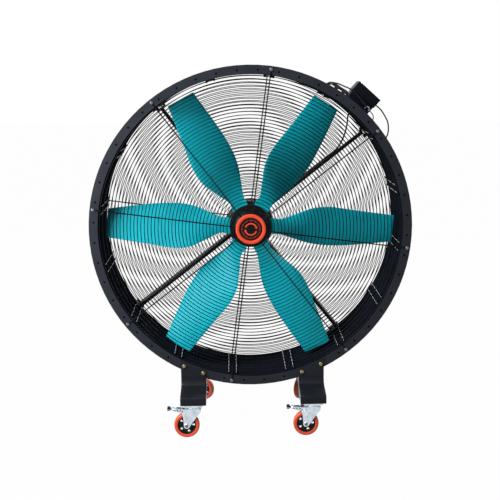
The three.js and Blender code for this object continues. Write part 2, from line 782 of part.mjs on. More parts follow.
// Heading turns the whole caster about its swivel axis; at 0 the wheel trails towards -X.
function caster(name, x, y, heading, braked) {
  const fixed = new THREE.Group();
  fixed.position.set(x, y, 0);
  fan.add(fixed);
  const swivel = new THREE.Group();
  swivel.position.copy(fixed.position);
  swivel.rotation.z = rad(heading);
  fan.add(swivel);
  const wheel = new THREE.Group();
  wheel.position.set(-trail, 0, wheelRadius);
  swivel.add(wheel);

  const [body, ...holes] = casterFork();
  piece(`${name}_caster_plate`, casterPlate(), zincPlate, fixed);
  piece(`${name}_fork`, cut(body, ...(braked ? holes : holes.slice(0, 1))), zincPlate, swivel);
  piece(`${name}_axle`, axle(), zincPlate, wheel);
  piece(`${name}_wheel_core`, wheelCore(), blackPlastic, wheel);
  piece(`${name}_tread`, tread(), orangeUrethane, wheel);
  if (braked) piece(`${name}_brake_pedal`, brakePedal(), zincPlate, swivel);
}

caster('front_left', -legCentre, -swivelAt, 0, true);
caster('front_right', legCentre, -swivelAt, 0, true);
caster('rear_left', -legCentre, swivelAt, 153, false);
caster('rear_right', legCentre, swivelAt, 57, false);

// ---------------------------------------------------------------- control box

// In the box's own frame X is up from the fan's axis and Z runs along the drum's rim.
const box = new THREE.Group();
box.rotation.y = -rad(boxAngle);
drum.add(box);

const hollow = (x0, x1, y0, y1, z0, z1, openAtTop) => block(
  openAtTop ? x0 + boxWall : x0 - 5, openAtTop ? x1 + 5 : x1 - boxWall,
  y0 + boxWall, y1 - boxWall, z0 + boxWall, z1 - boxWall);

function boxBase() {
  const size = [boxBottom, boxSplit - seat, boxFront, boxBack, -boxLength / 2, boxLength / 2];
  const [u, v] = glandPlace;
  const gland = turned([
    [0, boxFront + boxWall], [glandRadius - 3, boxFront + boxWall], [glandRadius, boxFront],
    [glandRadius, boxFront - 8], [glandRadius - 4, boxFront - 10],
    [glandRadius - 5, boxFront - glandLength], [0, boxFront - glandLength],
  ], 12).translate(u, 0, v);
  const [ku, kv] = knobPlace;
  const spindleHole = cylinderY(spindleRadius + 0.5, boxBack - 10, boxBack + 10, 12, ku, kv);
  return cut(join(cut(block(...size), hollow(...size, true)), gland), spindleHole);
}

function boxLid() {
  const size = [
    boxSplit, boxTop, boxFront - lidOverhang, boxBack + lidOverhang,
    -boxLength / 2 - lidOverhang, boxLength / 2 + lidOverhang,
  ];
  return cut(block(...size), hollow(...size, false));
}

// Bent strap that carries the box on the drum, with feet rolled to the sheet's radius.
function boxBracket() {
  const top = boxBottom - seat;
  const low = shellRadius + seat;
  const legHalf = boxLength / 2;
  const onArc = (r, v) => [Math.sqrt(r * r - v * v), v];
  const side = (sign) => [
    onArc(low, sign * (legHalf - bracketSheet)), onArc(low, sign * (legHalf + bracketFoot)),
    onArc(low + bracketSheet, sign * (legHalf + bracketFoot)), onArc(low + bracketSheet, sign * legHalf),
    [top, sign * legHalf],
  ];
  const inner = legHalf - bracketSheet;
  const section = outline([
    ...side(1), ...side(-1).reverse(), [top - bracketSheet, -inner], [top - bracketSheet, inner],
  ]);
  const middle = (boxFront + boxBack) / 2;
  const strap = alongY(section, middle - bracketDepth / 2, middle + bracketDepth / 2);
  const hole = turnedAboutX([
    [0, top - 10], [motorLeadDiameter / 2 + 3, top - 10], [motorLeadDiameter / 2 + 3, top + 5], [0, top + 5],
  ], 12).translate(0, motorLeadY, boxBottom * Math.sin(rad(motorLeadAngle - boxAngle)));
  return cut(strap, hole);
}

const driveUnit = () => closed(block(
  boxBottom + boxWall + seat, boxTop - driveHeadroom, boxFront + driveInset, boxBack - driveBackInset,
  driveInset - boxLength / 2, boxLength / 2 - driveInset));

// Ribbed knob on a spindle that enters the box's back wall.
function speedKnob() {
  const [ku, kv] = knobPlace;
  const back = boxBack + seat;
  const grip = alongY(
    outline(Array.from({ length: 24 }, (_, i) => {
      const r = i % 2 ? knobRadius : knobRadius - 1.5;
      return [r * Math.cos(rad(15 * i)), r * Math.sin(rad(15 * i))];
    })), back, back + knobLength);
  const spindle = cylinderY(spindleRadius, boxBack - 8, back + 2, 10);
  return join(grip, spindle).translate(ku, 0, kv);
}

piece('control_box_base', boxBase(), slateEnamel, box);
piece('control_box_lid', boxLid(), slateEnamel, box);
piece('control_box_bracket', boxBracket(), blackPowderCoat, box);
piece('drive_unit', driveUnit(), blackPlastic, box);
piece('speed_knob', speedKnob(), blackPlastic, box);

// ---------------------------------------------------------------- leads

// A point of the box's frame, in the drum's frame.
const fromBox = (u, v, y) =>
  polar(Math.hypot(u, v), boxAngle + THREE.MathUtils.radToDeg(Math.atan2(v, u)), y);

// Beside the upper right arm, at a radius.
const besideArm = (r, y) =>
  polar(r, armAngle + armLean[0] + THREE.MathUtils.radToDeg(Math.asin(leadOnArm / r)), y);

const motorLead = cable([
  polar(boxBottom - seat, motorLeadAngle, motorLeadY),
  polar(shellRadius, motorLeadAngle, motorLeadY),
  polar(boreRadius - 14, motorLeadAngle - 0.2, motorLeadY + 2),
  polar(707, 44.8, 45),
  polar(670, 42.5, 67),
  polar(630, 40.5, 85),
  besideArm(580, mountFront + upperArmDepth / 3),
  besideArm(500, mountFront + upperArmDepth / 3),
  besideArm(250, mountFront + upperArmDepth / 3),
  besideArm(190, mountFront + 6),
  polar(motorRadius + motorBossReach + 18, motorBossAngle, motorBossY),
  polar(motorRadius + motorBossReach + seat, motorBossAngle, motorBossY),
], motorLeadDiameter, 32);

const boxSide = -boxLength / 2;
const linkLead = cable([
  fromBox(boxSplit + 24, boxSide - lidOverhang - seat, linkLeadY),
  fromBox(boxSplit + 24.6, boxSide - lidOverhang - 15, linkLeadY),
  fromBox(boxSplit + 25, boxSide - 42, linkLeadY),
  polar(872.8, 37.9, linkLeadY),
  polar(866.4, 35.8, linkLeadY),
  polar(853.7, 34.1, linkLeadY),
  polar(836.6, 32.6, linkLeadY),
  polar(815, 31.5, linkLeadY),
  polar(790, linkBossAngle, linkLeadY),
  polar(shellRadius + leadBossHeight + seat, linkBossAngle, linkLeadY),
], linkLeadDiameter, 20);

const earthLead = cable([
  fromBox(boxSplit - 20, boxSide - seat, earthLeadY),
  fromBox(boxSplit - 19.5, boxSide - 12, earthLeadY),
  polar(828, 41.2, earthLeadY),
  polar(818, 40.1, earthLeadY),
  polar(795, earthBossAngle, earthLeadY),
  polar(shellRadius + leadBossHeight + seat, earthBossAngle, earthLeadY),
], earthLeadDiameter, 14);

piece('motor_lead', motorLead, cableSheath, drum);
piece('link_lead', linkLead, cableSheath, drum);
piece('earth_lead', earthLead, greySheath, drum);

// Hank: a bundle with round ends, standing on the drum behind the front flange.
const hankOuter = hankBend + hankBand / 2;
const hankInner = hankBend - hankBand / 2;

function stadium(radius, Kind) {
  const path = new Kind();
  const end = hankStraight / 2;
  path.absarc(hankRadius, end, radius, 0, Math.PI, false);
  path.absarc(hankRadius, -end, radius, Math.PI, 2 * Math.PI, false);
  path.closePath();
  return path;
}

// The plug lies on the drum beside the hank, with its axis along the rim.
const plugAngle = hankAngle - plugTurn;
const plugSeat = shellRadius + plugRadius + seat;
const onPlug = (v) => new THREE.Vector3(plugSeat, plugY, v).applyAxisAngle(
  new THREE.Vector3(0, 1, 0), -rad(plugAngle));
const besideHank = (r, v, y) => polar(r, hankAngle + THREE.MathUtils.radToDeg(v / r), y);

// The last turn's end leaves the bundle's drum side and runs on to the plug.
function supplyHank() {
  const shape = stadium(hankOuter, THREE.Shape);
  shape.holes.push(stadium(hankInner, THREE.Path));
  const bundle = atAngle(alongY(shape, hankFront, hankFront + hankDepth, 7), hankAngle);
  const lane = hankFront + hankDepth - supplyDiameter / 2 - seat;
  const under = hankRadius - hankBend + hankBand / 4;
  const tail = cable([
    besideHank(under, hankStraight / 2, lane),
    besideHank(under, 8, lane),
    besideHank(under + 1.5, -12, lane + 4),
    besideHank(under + 4, -36, lane + 16),
    besideHank(under + 6, -56, lane + 26),
    onPlug(plugTail + plugLength / 2 + 6),
    onPlug(plugTail + plugLength / 2 - 2 + seat),
  ], supplyDiameter, 12);
  return join(bundle, tail);
}

const [glandU, glandV] = glandPlace;
const supplyLead = cable([
  fromBox(glandU, glandV, boxFront - glandLength - seat),
  fromBox(glandU, glandV, boxFront - glandLength - 14),
  fromBox(glandU + 2, glandV + 12, boxFront - 45),
  fromBox(glandU + 6, glandV + 42, boxFront - 53),
  fromBox(glandU + 12, glandV + 74, boxFront - 54),
  fromBox(glandU + 15, glandV + 111, boxFront - 58),
  fromBox(glandU + 12.5, glandV + 137, boxFront - 65),
  polar(833, 56, boxFront - 75),
  polar(825.5, hankAngle + 1.2, hankFront + hankDepth - 10),
], supplyDiameter, 22);

// Moulded plug with a tapered boot where the cord comes in and its pins at the other end.
function supplyPlug() {
  const [pinRadius, pinLength] = plugPin;
  const half = plugLength / 2;
  const body = turnedAboutZ([
    [0, half + plugTail - 2], [supplyDiameter / 2 + 1.6, half + plugTail - 2],
    [plugRadius - 10, half + 6], [plugRadius - 2, half], [plugRadius, half - 3], [plugRadius, 2 - half],
    [plugRadius - 2, -half], [0, -half],
  ], 14);
  const pins = [-0.5, 0.5].map((side) =>
    alongZ(outline(ringPoints(pinRadius, 8, 0, side * plugPinSpacing)), -half - pinLength, 1 - half));
  return atAngle(join(body, ...pins).translate(plugSeat, plugY, 0), plugAngle);
}

piece('supply_hank', supplyHank(), cableSheath, drum);
piece('supply_lead', supplyLead, cableSheath, drum);
piece('supply_plug', supplyPlug(), blackPlastic, drum);

export default fan;
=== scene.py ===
"""A large drum fan on casters: the camera, cords, smooth pieces, materials and light round its solids.

Shapes are written in millimetres and become metres when a piece is finished. X is to the right, Y to
the back and Z up. The fan's axis runs along Y.
"""

import math

import bmesh
import bpy
from mathutils import Matrix, Vector


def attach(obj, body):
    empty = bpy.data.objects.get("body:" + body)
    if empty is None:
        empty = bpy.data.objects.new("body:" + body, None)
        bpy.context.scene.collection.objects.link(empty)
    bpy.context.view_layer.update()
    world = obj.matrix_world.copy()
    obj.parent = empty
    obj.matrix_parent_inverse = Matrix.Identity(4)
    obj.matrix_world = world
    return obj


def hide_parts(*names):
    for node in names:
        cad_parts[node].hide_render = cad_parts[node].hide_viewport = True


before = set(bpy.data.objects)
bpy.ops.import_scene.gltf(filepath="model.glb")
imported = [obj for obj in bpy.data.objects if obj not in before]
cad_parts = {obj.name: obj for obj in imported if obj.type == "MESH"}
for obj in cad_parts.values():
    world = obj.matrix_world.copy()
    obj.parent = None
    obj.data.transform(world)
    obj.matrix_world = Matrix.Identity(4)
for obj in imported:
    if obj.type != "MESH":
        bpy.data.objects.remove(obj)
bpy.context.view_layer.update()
scene = bpy.context.scene

MM = 0.001
# Clearance between pieces that sit on each other.
SEAT = 0.3
AXIS_HEIGHT = 1033.0
SHELL_RADIUS = 756.0
BORE_RADIUS = 754.0

# ------------------------------------------------------------------ camera

CAMERA_PLACE = (-0.0922, -5.1162, 1.8105)
CAMERA_PITCH = -10.17
CAMERA_YAW = 1.01
CAMERA_ROLL = -0.67
LENS = 72.53


def photographs_camera():
    """The camera that the drum's rims give when they are fitted in the photograph."""
    pitch, yaw, roll = (math.radians(a) for a in (CAMERA_PITCH, CAMERA_YAW, CAMERA_ROLL))
    ahead = Vector((math.sin(yaw) * math.cos(pitch), math.cos(yaw) * math.cos(pitch), math.sin(pitch)))
    level = Vector((math.cos(yaw), -math.sin(yaw), 0))
    above = level.cross(ahead)
    right = math.cos(roll) * level + math.sin(roll) * above
    up = math.cos(roll) * above - math.sin(roll) * level
    data = bpy.data.cameras.new("camera")
    data.lens = LENS
    data.sensor_width = 36
    data.sensor_fit = "AUTO"
    data.clip_end = 200
    camera = bpy.data.objects.new("camera", data)
    scene.collection.objects.link(camera)
    turn_to_view = Matrix((right, up, -ahead)).transposed().to_4x4()
    camera.matrix_world = Matrix.Translation(CAMERA_PLACE) @ turn_to_view
    scene.camera = camera


photographs_camera()

# ------------------------------------------------------------------ materials


def colour(code):
    """An sRGB hex colour as the linear values that a shader takes."""

    def linear(c):
        return c / 12.92 if c <= 0.04045 else ((c + 0.055) / 1.055) ** 2.4

    return tuple(linear(int(code[i : i + 2], 16) / 255) for i in (1, 3, 5)) + (1.0,)


def add(tree, kind, inputs=(), **settings):
    """Adds a node with its settings. An input is a value, or the output socket that it is linked to."""
    node = tree.nodes.new(kind)
    for name, value in settings.items():
        setattr(node, name, value)
    for name, value in dict(inputs).items():
        if isinstance(value, bpy.types.NodeSocket):
            tree.links.new(value, node.inputs[name])
        else:
            node.inputs[name].default_value = value
    return node


def material(name):
    """A new material with an empty tree, and the Object coordinates that its patterns read."""
    made = bpy.data.materials.new(name)
    made.use_nodes = True
    tree = made.node_tree
    tree.nodes.clear()
    return made, tree, add(tree, "ShaderNodeTexCoord").outputs["Object"]


def two_tones(tree, pattern, low, high, first, second):
    """A colour that drifts from one hex colour to another with a 0 to 1 pattern."""
    share = add(tree, "ShaderNodeMapRange", {"Value": pattern, "To Min": low, "To Max": high})
    tones = {0: share.outputs["Result"], 6: colour(first), 7: colour(second)}
    return add(tree, "ShaderNodeMix", tones, data_type="RGBA").outputs[2]


def surface(tree, tone, pattern, glossy, dull, relief, **constants):
    """The material's shader and output. Its roughness goes from glossy to dull with a 0 to 1 pattern."""
    gloss = add(tree, "ShaderNodeMapRange", {"Value": pattern, "To Min": glossy, "To Max": dull})
    inputs = {socket.replace("_", " "): value for socket, value in constants.items()}
    inputs["Base Color"] = tone
    inputs["Roughness"] = gloss.outputs["Result"]
    inputs["Normal"] = relief.outputs["Normal"]
    shader = add(tree, "ShaderNodeBsdfPrincipled", inputs)
    add(tree, "ShaderNodeOutputMaterial", {"Surface": shader.outputs["BSDF"]})


def powder_coat(name, base, lighter, roughness, shine):
    # Polyester powder coat, baked on steel: satin, with an orange-peel skin of about 2.5 mm and a
    # faint greyer bloom where dust and hands have dulled it.
    made, tree, place = material(name)
    peel = add(tree, "ShaderNodeTexNoise", {"Vector": place, "Scale": 400.0, "Detail": 2.0})
    bloom = add(tree, "ShaderNodeTexNoise", {"Vector": place, "Scale": 9.0, "Detail": 5.0, "Roughness": 0.6})
    bloom = bloom.outputs["Fac"]
    tone = two_tones(tree, bloom, -0.4, 1.3, base, lighter)
    skin = add(tree, "ShaderNodeBump", {"Strength": 0.12, "Distance": 0.0006, "Height": peel.outputs["Fac"]})
    surface(tree, tone, bloom, roughness - 0.1, roughness + 0.1, skin, Specular_IOR_Level=shine)
    return made


def moulded_plastic(name, base, darker, roughness, shine):
    # Injection-moulded thermoplastic: even colour with faint flow clouds along the part, a fine
    # moulded grain of 1 mm and a soft sheen.
    made, tree, place = material(name)
    flow = add(tree, "ShaderNodeTexNoise", {"Vector": place, "Scale": 6.0, "Detail": 4.0, "Distortion": 0.6})
    flow = flow.outputs["Fac"]
    grain = add(tree, "ShaderNodeTexNoise", {"Vector": place, "Scale": 900.0, "Detail": 1.0})
    tone = two_tones(tree, flow, -0.3, 0.9, base, darker)
    skin = add(tree, "ShaderNodeBump", {"Strength": 0.08, "Distance": 0.0003, "Height": grain.outputs["Fac"]})
    surface(tree, tone, flow, roughness - 0.07, roughness + 0.07, skin, Specular_IOR_Level=shine)
    return made


def plated_steel(name, base, second, roughness):
    # Electroplated sheet steel: a crystalline, slightly cloudy mirror, its passivation drifting from
    # one tint to another over about 15 mm.
    made, tree, place = material(name)
    tint = add(tree, "ShaderNodeTexNoise", {"Vector": place, "Scale": 60.0, "Detail": 3.0}).outputs["Fac"]
    spangle = add(tree, "ShaderNodeTexVoronoi", {"Vector": place, "Scale": 450.0}).outputs["Distance"]
    tone = two_tones(tree, tint, -0.2, 1.2, base, second)
    cloud = add(tree, "ShaderNodeBump", {"Strength": 0.1, "Distance": 0.0002, "Height": tint})
    surface(tree, tone, spangle, roughness - 0.06, roughness + 0.1, cloud, Metallic=1.0)
    return made


def cast_housing(name, base, lighter):
    # Painted aluminium die casting: a sandy skin of 2 to 3 mm under semi-gloss paint.
    made, tree, place = material(name)
    sand = add(tree, "ShaderNodeTexNoise", {"Vector": place, "Scale": 420.0, "Detail": 3.0}).outputs["Fac"]
    cloud = add(tree, "ShaderNodeTexNoise", {"Vector": place, "Scale": 20.0, "Detail": 2.0}).outputs["Fac"]
    tone = two_tones(tree, cloud, 0.0, 1.0, base, lighter)
    skin = add(tree, "ShaderNodeBump", {"Strength": 0.3, "Distance": 0.0006, "Height": sand})
    surface(tree, tone, sand, 0.42, 0.62, skin, Specular_IOR_Level=0.25)
    return made


def urethane(name, base, darker):
    # Cast polyurethane tyre: waxy, a little light inside it, scuffed duller in patches where it rolls.
    made, tree, place = material(name)
    scuff = add(tree, "ShaderNodeTexNoise", {"Vector": place, "Scale": 90.0, "Detail": 6.0, "Roughness": 0.7})
    scuff = scuff.outputs["Fac"]
    tone = two_tones(tree, scuff, -0.6, 1.0, base, darker)
    skin = add(tree, "ShaderNodeBump", {"Strength": 0.1, "Distance": 0.0005, "Height": scuff})
    surface(
        tree, tone, scuff, 0.28, 0.55, skin, IOR=1.5,
        Subsurface_Weight=0.12, Subsurface_Scale=0.01, Subsurface_Radius=(1.0, 0.35, 0.15),
    )
    return made


def cable_sheath(name, base, lighter):
    # Extruded PVC sheath: soft satin, with the fine waves that the extruder leaves every 3 mm.
    made, tree, place = material(name)
    waves = add(tree, "ShaderNodeTexNoise", {"Vector": place, "Scale": 330.0, "Detail": 1.0}).outputs["Fac"]
    tone = two_tones(tree, waves, -0.2, 1.0, base, lighter)
    skin = add(tree, "ShaderNodeBump", {"Strength": 0.15, "Distance": 0.0003, "Height": waves})
    surface(tree, tone, waves, 0.45, 0.6, skin, Specular_IOR_Level=0.25)
    return made


drum_coat = powder_coat("drum_powder_coat", "#15171d", "#1e2128", 0.42, 0.14)
# Painted shade: the drum's coat made darker and matt, for the bore inside the drum.
bore_painted_shade = powder_coat("bore_painted_shade_coat", "#11141b", "#181b22", 0.6, 0.0)
# Painted highlight: a light grey for the edges of the channels' lips.
lip_painted_highlight = powder_coat("channel_lip_painted_highlight", "#9aa0a8", "#b4bac2", 0.3, 0.4)
cap_nylon = moulded_plastic("flange_cap_nylon", "#040405", "#020203", 0.6, 0.0)
hub_coat = powder_coat("hub_powder_coat", "#08090a", "#111215", 0.3, 0.14)
mount_coat = powder_coat("mount_powder_coat", "#07080a", "#0f1013", 0.5, 0.08)
leg_coat = powder_coat("leg_powder_coat", "#0f1115", "#1a1c22", 0.32, 0.1)
box_enamel = powder_coat("box_enamel", "#06080e", "#0d111a", 0.34, 0.06)
wire_coat = powder_coat("wire_dip_coat", "#040508", "#090b10", 0.34, 0.06)
bolt_black = plated_steel("black_zinc_plate", "#7d8289", "#4a4e54", 0.26)
badge_enamel = powder_coat("badge_enamel", "#ba3b22", "#c4452b", 0.36, 0.12)
badge_print = moulded_plastic("badge_printed_disc", "#0b0b0e", "#08080a", 0.35, 0.08)
blade_plastic = moulded_plastic("blade_polypropylene", "#00a1b0", "#0091a1", 0.42, 0.15)
black_nylon = moulded_plastic("black_nylon", "#08090a", "#050506", 0.42, 0.15)
knob_plastic = moulded_plastic("knob_abs", "#121315", "#0c0d0f", 0.32, 0.3)
bright_zinc = plated_steel("bright_zinc_plate", "#e9f2f8", "#a7b4c2", 0.24)
yellow_zinc = plated_steel("yellow_zinc_plate", "#a8986c", "#5c5034", 0.2)
ground_steel = plated_steel("ground_steel", "#a9adb1", "#989da3", 0.22)
motor_casting = cast_housing("motor_die_casting", "#15171b", "#1f2227")
orange_urethane = urethane("orange_urethane", "#c8451f", "#a53417")
black_sheath = cable_sheath("black_pvc_sheath", "#08090a", "#121315")
grey_sheath = cable_sheath("grey_pvc_sheath", "#22252a", "#31353b")
tie_nylon = moulded_plastic("tie_nylon", "#131417", "#0d0e10", 0.35, 0.3)

# ------------------------------------------------------------------ shaping

ON_AXIS = Matrix.Translation((0, 0, AXIS_HEIGHT))
Y_TO_X = Matrix.Rotation(math.radians(-90), 4, "Z")
Y_TO_MINUS_X = Matrix.Rotation(math.radians(90), 4, "Z")
Y_TO_Z = Matrix.Rotation(math.radians(90), 4, "X")
Y_TO_MINUS_Z = Matrix.Rotation(math.radians(-90), 4, "X")
HALF_TURN = Matrix.Rotation(math.pi, 4, "Z")
X_AND_Y_SWAPPED = Matrix(((0, 1, 0, 0), (1, 0, 0, 0), (0, 0, 1, 0), (0, 0, 0, 1)))


def about_axis(degrees):
    """Turns about the fan's axis, from +X towards +Z."""
    return Matrix.Rotation(-math.radians(degrees), 4, "Y")


def shift(x, y, z):
    return Matrix.Translation((x, y, z))


def move(shape, *matrices):
    """Moves a shape by some matrices, the first one first."""
    for matrix in matrices:
        bmesh.ops.transform(shape, matrix=matrix, verts=shape.verts)
    return shape


def polar(radius, degrees, y=0.0):
    """A point at a radius and an angle about the fan's axis."""
    a = math.radians(degrees)
    return Vector((radius * math.cos(a), y, radius * math.sin(a)))


def turned(profile, steps=64, closed=True):
    """Spins a profile about Y. Each point is a radius and a place along the axis."""
    shape = bmesh.new()
    verts = [shape.verts.new((r, y, 0)) for r, y in profile]
    pairs = list(zip(verts, verts[1:]))
    if closed:
        pairs.append((verts[-1], verts[0]))
    edges = [shape.edges.new(pair) for pair in pairs]
    bmesh.ops.spin(
        shape, geom=verts + edges, cent=(0, 0, 0), axis=(0, 1, 0), angle=math.tau, steps=steps, use_merge=True
    )
    return shape


def corners(grown):
    """The vertices among what an extrusion gives back."""
    return [g for g in grown if isinstance(g, bmesh.types.BMVert)]


def thicken(shape, way):
    """Makes a solid of a shape's faces, by pulling a copy of them along a way."""
    grown = bmesh.ops.extrude_face_region(shape, geom=shape.faces[:])["geom"]
    bmesh.ops.translate(shape, vec=way, verts=corners(grown))
    return shape


def sheet_metal(points, thickness, start=0.0):
    """A flat plate: its outline in X and Z, from Y = start on."""
    shape = bmesh.new()
    shape.faces.new([shape.verts.new((x, start, z)) for x, z in points])
    return thicken(shape, (0, thickness, 0))


def closed_loop(shape, points):
    """New vertices in a shape, with the edges that close them to a loop."""
    verts = [shape.verts.new(point) for point in points]
    return verts, [shape.edges.new(pair) for pair in zip(verts, verts[1:] + verts[:1])]


def plate_sector(rim, window, thickness, half_angle):
    """One sector of a round plate with a window through it, open at the ends where its copies join."""
    shape = bmesh.new()
    edges = closed_loop(shape, rim)[1] + closed_loop(shape, window)[1]
    bmesh.ops.bridge_loops(shape, edges=edges)
    thicken(shape, (0, thickness, 0))

    def at_end(vert):
        return abs(abs(math.degrees(math.atan2(vert.co.z, vert.co.x))) - half_angle) < 0.05

    ends = [face for face in shape.faces if all(at_end(vert) for vert in face.verts)]
    bmesh.ops.delete(shape, geom=ends, context="FACES")
    return shape


def drawn_out(section, step, count):
    """A closed section drawn out along X in equal steps, for its columns of vertices to be set later."""
    shape = bmesh.new()
    loop, edges = closed_loop(shape, section)
    shape.faces.new(loop)
    for _ in range(count):
        grown = bmesh.ops.extrude_edge_only(shape, edges=edges)["geom"]
        bmesh.ops.translate(shape, vec=(step, 0, 0), verts=corners(grown))
        edges = [g for g in grown if isinstance(g, bmesh.types.BMEdge) and len(g.link_faces) == 1]
    bmesh.ops.holes_fill(shape, edges=edges)
    return shape


def block(size, centre, edge, segments=2):
    """A box with rounded edges."""
    shape = bmesh.new()
    bmesh.ops.create_cube(shape, size=1.0)
    bmesh.ops.scale(shape, vec=size, verts=shape.verts)
    return move(soften(shape, edge, segments), shift(*centre))


def soften(shape, width, segments=2, sharper_than=30):
    """Rounds every edge that is sharper than an angle."""
    bmesh.ops.recalc_face_normals(shape, faces=shape.faces)
    inner = [edge for edge in shape.edges if len(edge.link_faces) == 2]
    sharp = [edge for edge in inner if edge.calc_face_angle() > math.radians(sharper_than)]
    bmesh.ops.bevel(
        shape,
        geom=sharp,
        offset=width,
        offset_type="OFFSET",
        segments=segments,
        profile=0.5,
        affect="EDGES",
        clamp_overlap=True,
        material=-1,
    )
    return shape


def rod(start, end, radius, segments=12):
    """A round bar from one point to another."""
    start, end = Vector(start), Vector(end)
    along = end - start
    shape = bmesh.new()
    bmesh.ops.create_cone(
        shape, cap_ends=True, segments=segments, radius1=radius, radius2=radius, depth=along.length
    )
    turn = along.to_track_quat("Z", "Y").to_matrix().to_4x4()
    return move(shape, Matrix.Translation((start + end) / 2) @ turn)


def put(piece, part, *matrices):
    """Adds a part to a piece, after moving it."""
    data = bpy.data.meshes.new("part")
    move(part, *matrices).to_mesh(data)
    part.free()
    piece.from_mesh(data)
    bpy.data.meshes.remove(data)
    return piece


def mirrored(shape, axis):
    """The other hand of a shape, across the plane that an axis is square to."""
    size = [1, 1, 1]
    size["XYZ".index(axis)] = -1
    bmesh.ops.scale(shape, vec=size, verts=shape.verts)
    bmesh.ops.reverse_faces(shape, faces=shape.faces)
    return shape


def declare(name, data, look, body, nodes):
    """Gives a mesh or curve its object, its look, the body it rides on and its CAD nodes."""
    data.materials.append(look)
    obj = bpy.data.objects.new(name, data)
    scene.collection.objects.link(obj)
    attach(obj, body)
    if nodes:
        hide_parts(*nodes)
    return obj


def finish(name, shape, look, slot, body, *nodes, smooth=34):
    """Makes a shape a smooth piece, whose edges over an angle stay sharp."""
    bmesh.ops.remove_doubles(shape, verts=shape.verts, dist=0.002)
    bmesh.ops.recalc_face_normals(shape, faces=shape.faces)
    bmesh.ops.scale(shape, vec=(MM, MM, MM), verts=shape.verts)
    data = bpy.data.meshes.new(name)
    shape.to_mesh(data)
    shape.free()
    data.shade_smooth()
    data.set_sharp_from_angle(angle=math.radians(smooth))
    return declare(name, data, look, body, nodes)


# ------------------------------------------------------------------ cords

BOX_ANGLE = 47.8
BOX_BOTTOM = 786.0
BOX_SPLIT = 845.0
BOX_TOP = 899.0
LID_OVERHANG = 3.0
BOX_FRONT = -60.0
BOX_BACK = 55.0
BOX_LENGTH = 136.0
GLAND_AT = (821.6, -47.4)
GLAND_LENGTH = 18.0
ARM_ANGLE = 37.2
ARM_LEAN = (0.5, 0.0, 0.3, 1.0)
MOUNT_FRONT = 80.3
SUPPLY_DIAMETER = 7.0
HANK_ANGLE = 57.4
HANK_BEND = 24.65
HANK_STRAIGHT = 68.0
HANK_BAND = 14.6
HANK_DEPTH = 36.0
HANK_FRONT = -188.0
HANK_RADIUS = SHELL_RADIUS + SEAT + HANK_BEND + HANK_BAND / 2
HANK_LANES = 5
HANK_LAST = HANK_FRONT + HANK_DEPTH - SUPPLY_DIAMETER / 2 - SEAT
PLUG_RADIUS = 18.0
PLUG_LENGTH = 26.0
PLUG_TAIL = 30.0
PLUG_TURN = 8.2
PLUG_Y = -127.0
PLUG_SEAT = SHELL_RADIUS + PLUG_RADIUS + SEAT
PIN_SPACING = 19.0
PIN_RADIUS = 2.4
PIN_LENGTH = 19.0
TIE_PLACES = (10.5, -30.0)
TIE_WIDTH = 17.0
TIE_THICKNESS = 0.5
TIE_CORNER = 3.4
CORD_STEP = 4.0
FOLD_STEPS = 12
# On its straight runs the hank's cord has a point at this share of half the run, either side of the middle,
# and there it has gone this share of the way over to the next turn.
RUN_POINT = 0.33
MOVED_OVER = 0.27


def smooth_line(points):
    """Points every few millimetres on the centripetal Catmull-Rom curve through the given ones."""
    points = [Vector(p) for p in points]
    padded = [2 * points[0] - points[1]] + points + [2 * points[-1] - points[-2]]
    line = []
    for p0, p1, p2, p3 in zip(padded, padded[1:], padded[2:], padded[3:]):
        t1 = (p1 - p0).length ** 0.5
        t2 = t1 + (p2 - p1).length ** 0.5
        t3 = t2 + (p3 - p2).length ** 0.5
        steps = max(1, round((p2 - p1).length / CORD_STEP))
        for i in range(steps):
            t = t1 + (t2 - t1) * i / steps
            a1 = p0.lerp(p1, t / t1)
            a2 = p1.lerp(p2, (t - t1) / (t2 - t1))
            a3 = p2.lerp(p3, (t - t2) / (t3 - t2))
            b1 = a1.lerp(a2, t / t2)
            b2 = a2.lerp(a3, (t - t1) / (t3 - t1))
            line.append(b1.lerp(b2, (t - t1) / (t2 - t1)))
    return line + [points[-1]]


def cord(name, line, diameter, look, *nodes):
    """A round cord on the drum, along a line of points that are given from the fan's axis."""
    data = bpy.data.curves.new(name, "CURVE")
    data.dimensions = "3D"
    data.bevel_depth = diameter / 2 * MM
    data.bevel_resolution = 3
    data.use_fill_caps = True
    spline = data.splines.new("POLY")
    spline.points.add(len(line) - 1)
    for point, place in zip(spline.points, line):
        point.co = (*((ON_AXIS @ place) * MM), 1.0)
    spline.use_smooth = True
    return declare(name, data, look, "chassis", nodes)


def from_box(u, v, y):
    """A point of the control box: up from the fan's axis, and along the drum's rim."""
    return polar(math.hypot(u, v), BOX_ANGLE + math.degrees(math.atan2(v, u)), y)


def beside_hank(radius, v, y):
    return polar(radius, HANK_ANGLE + math.degrees(v / radius), y)


def on_hank(u, v, y):
    return about_axis(HANK_ANGLE) @ Vector((u, y, v))


def on_plug(v):
    return about_axis(HANK_ANGLE - PLUG_TURN) @ Vector((PLUG_SEAT, PLUG_Y, v))


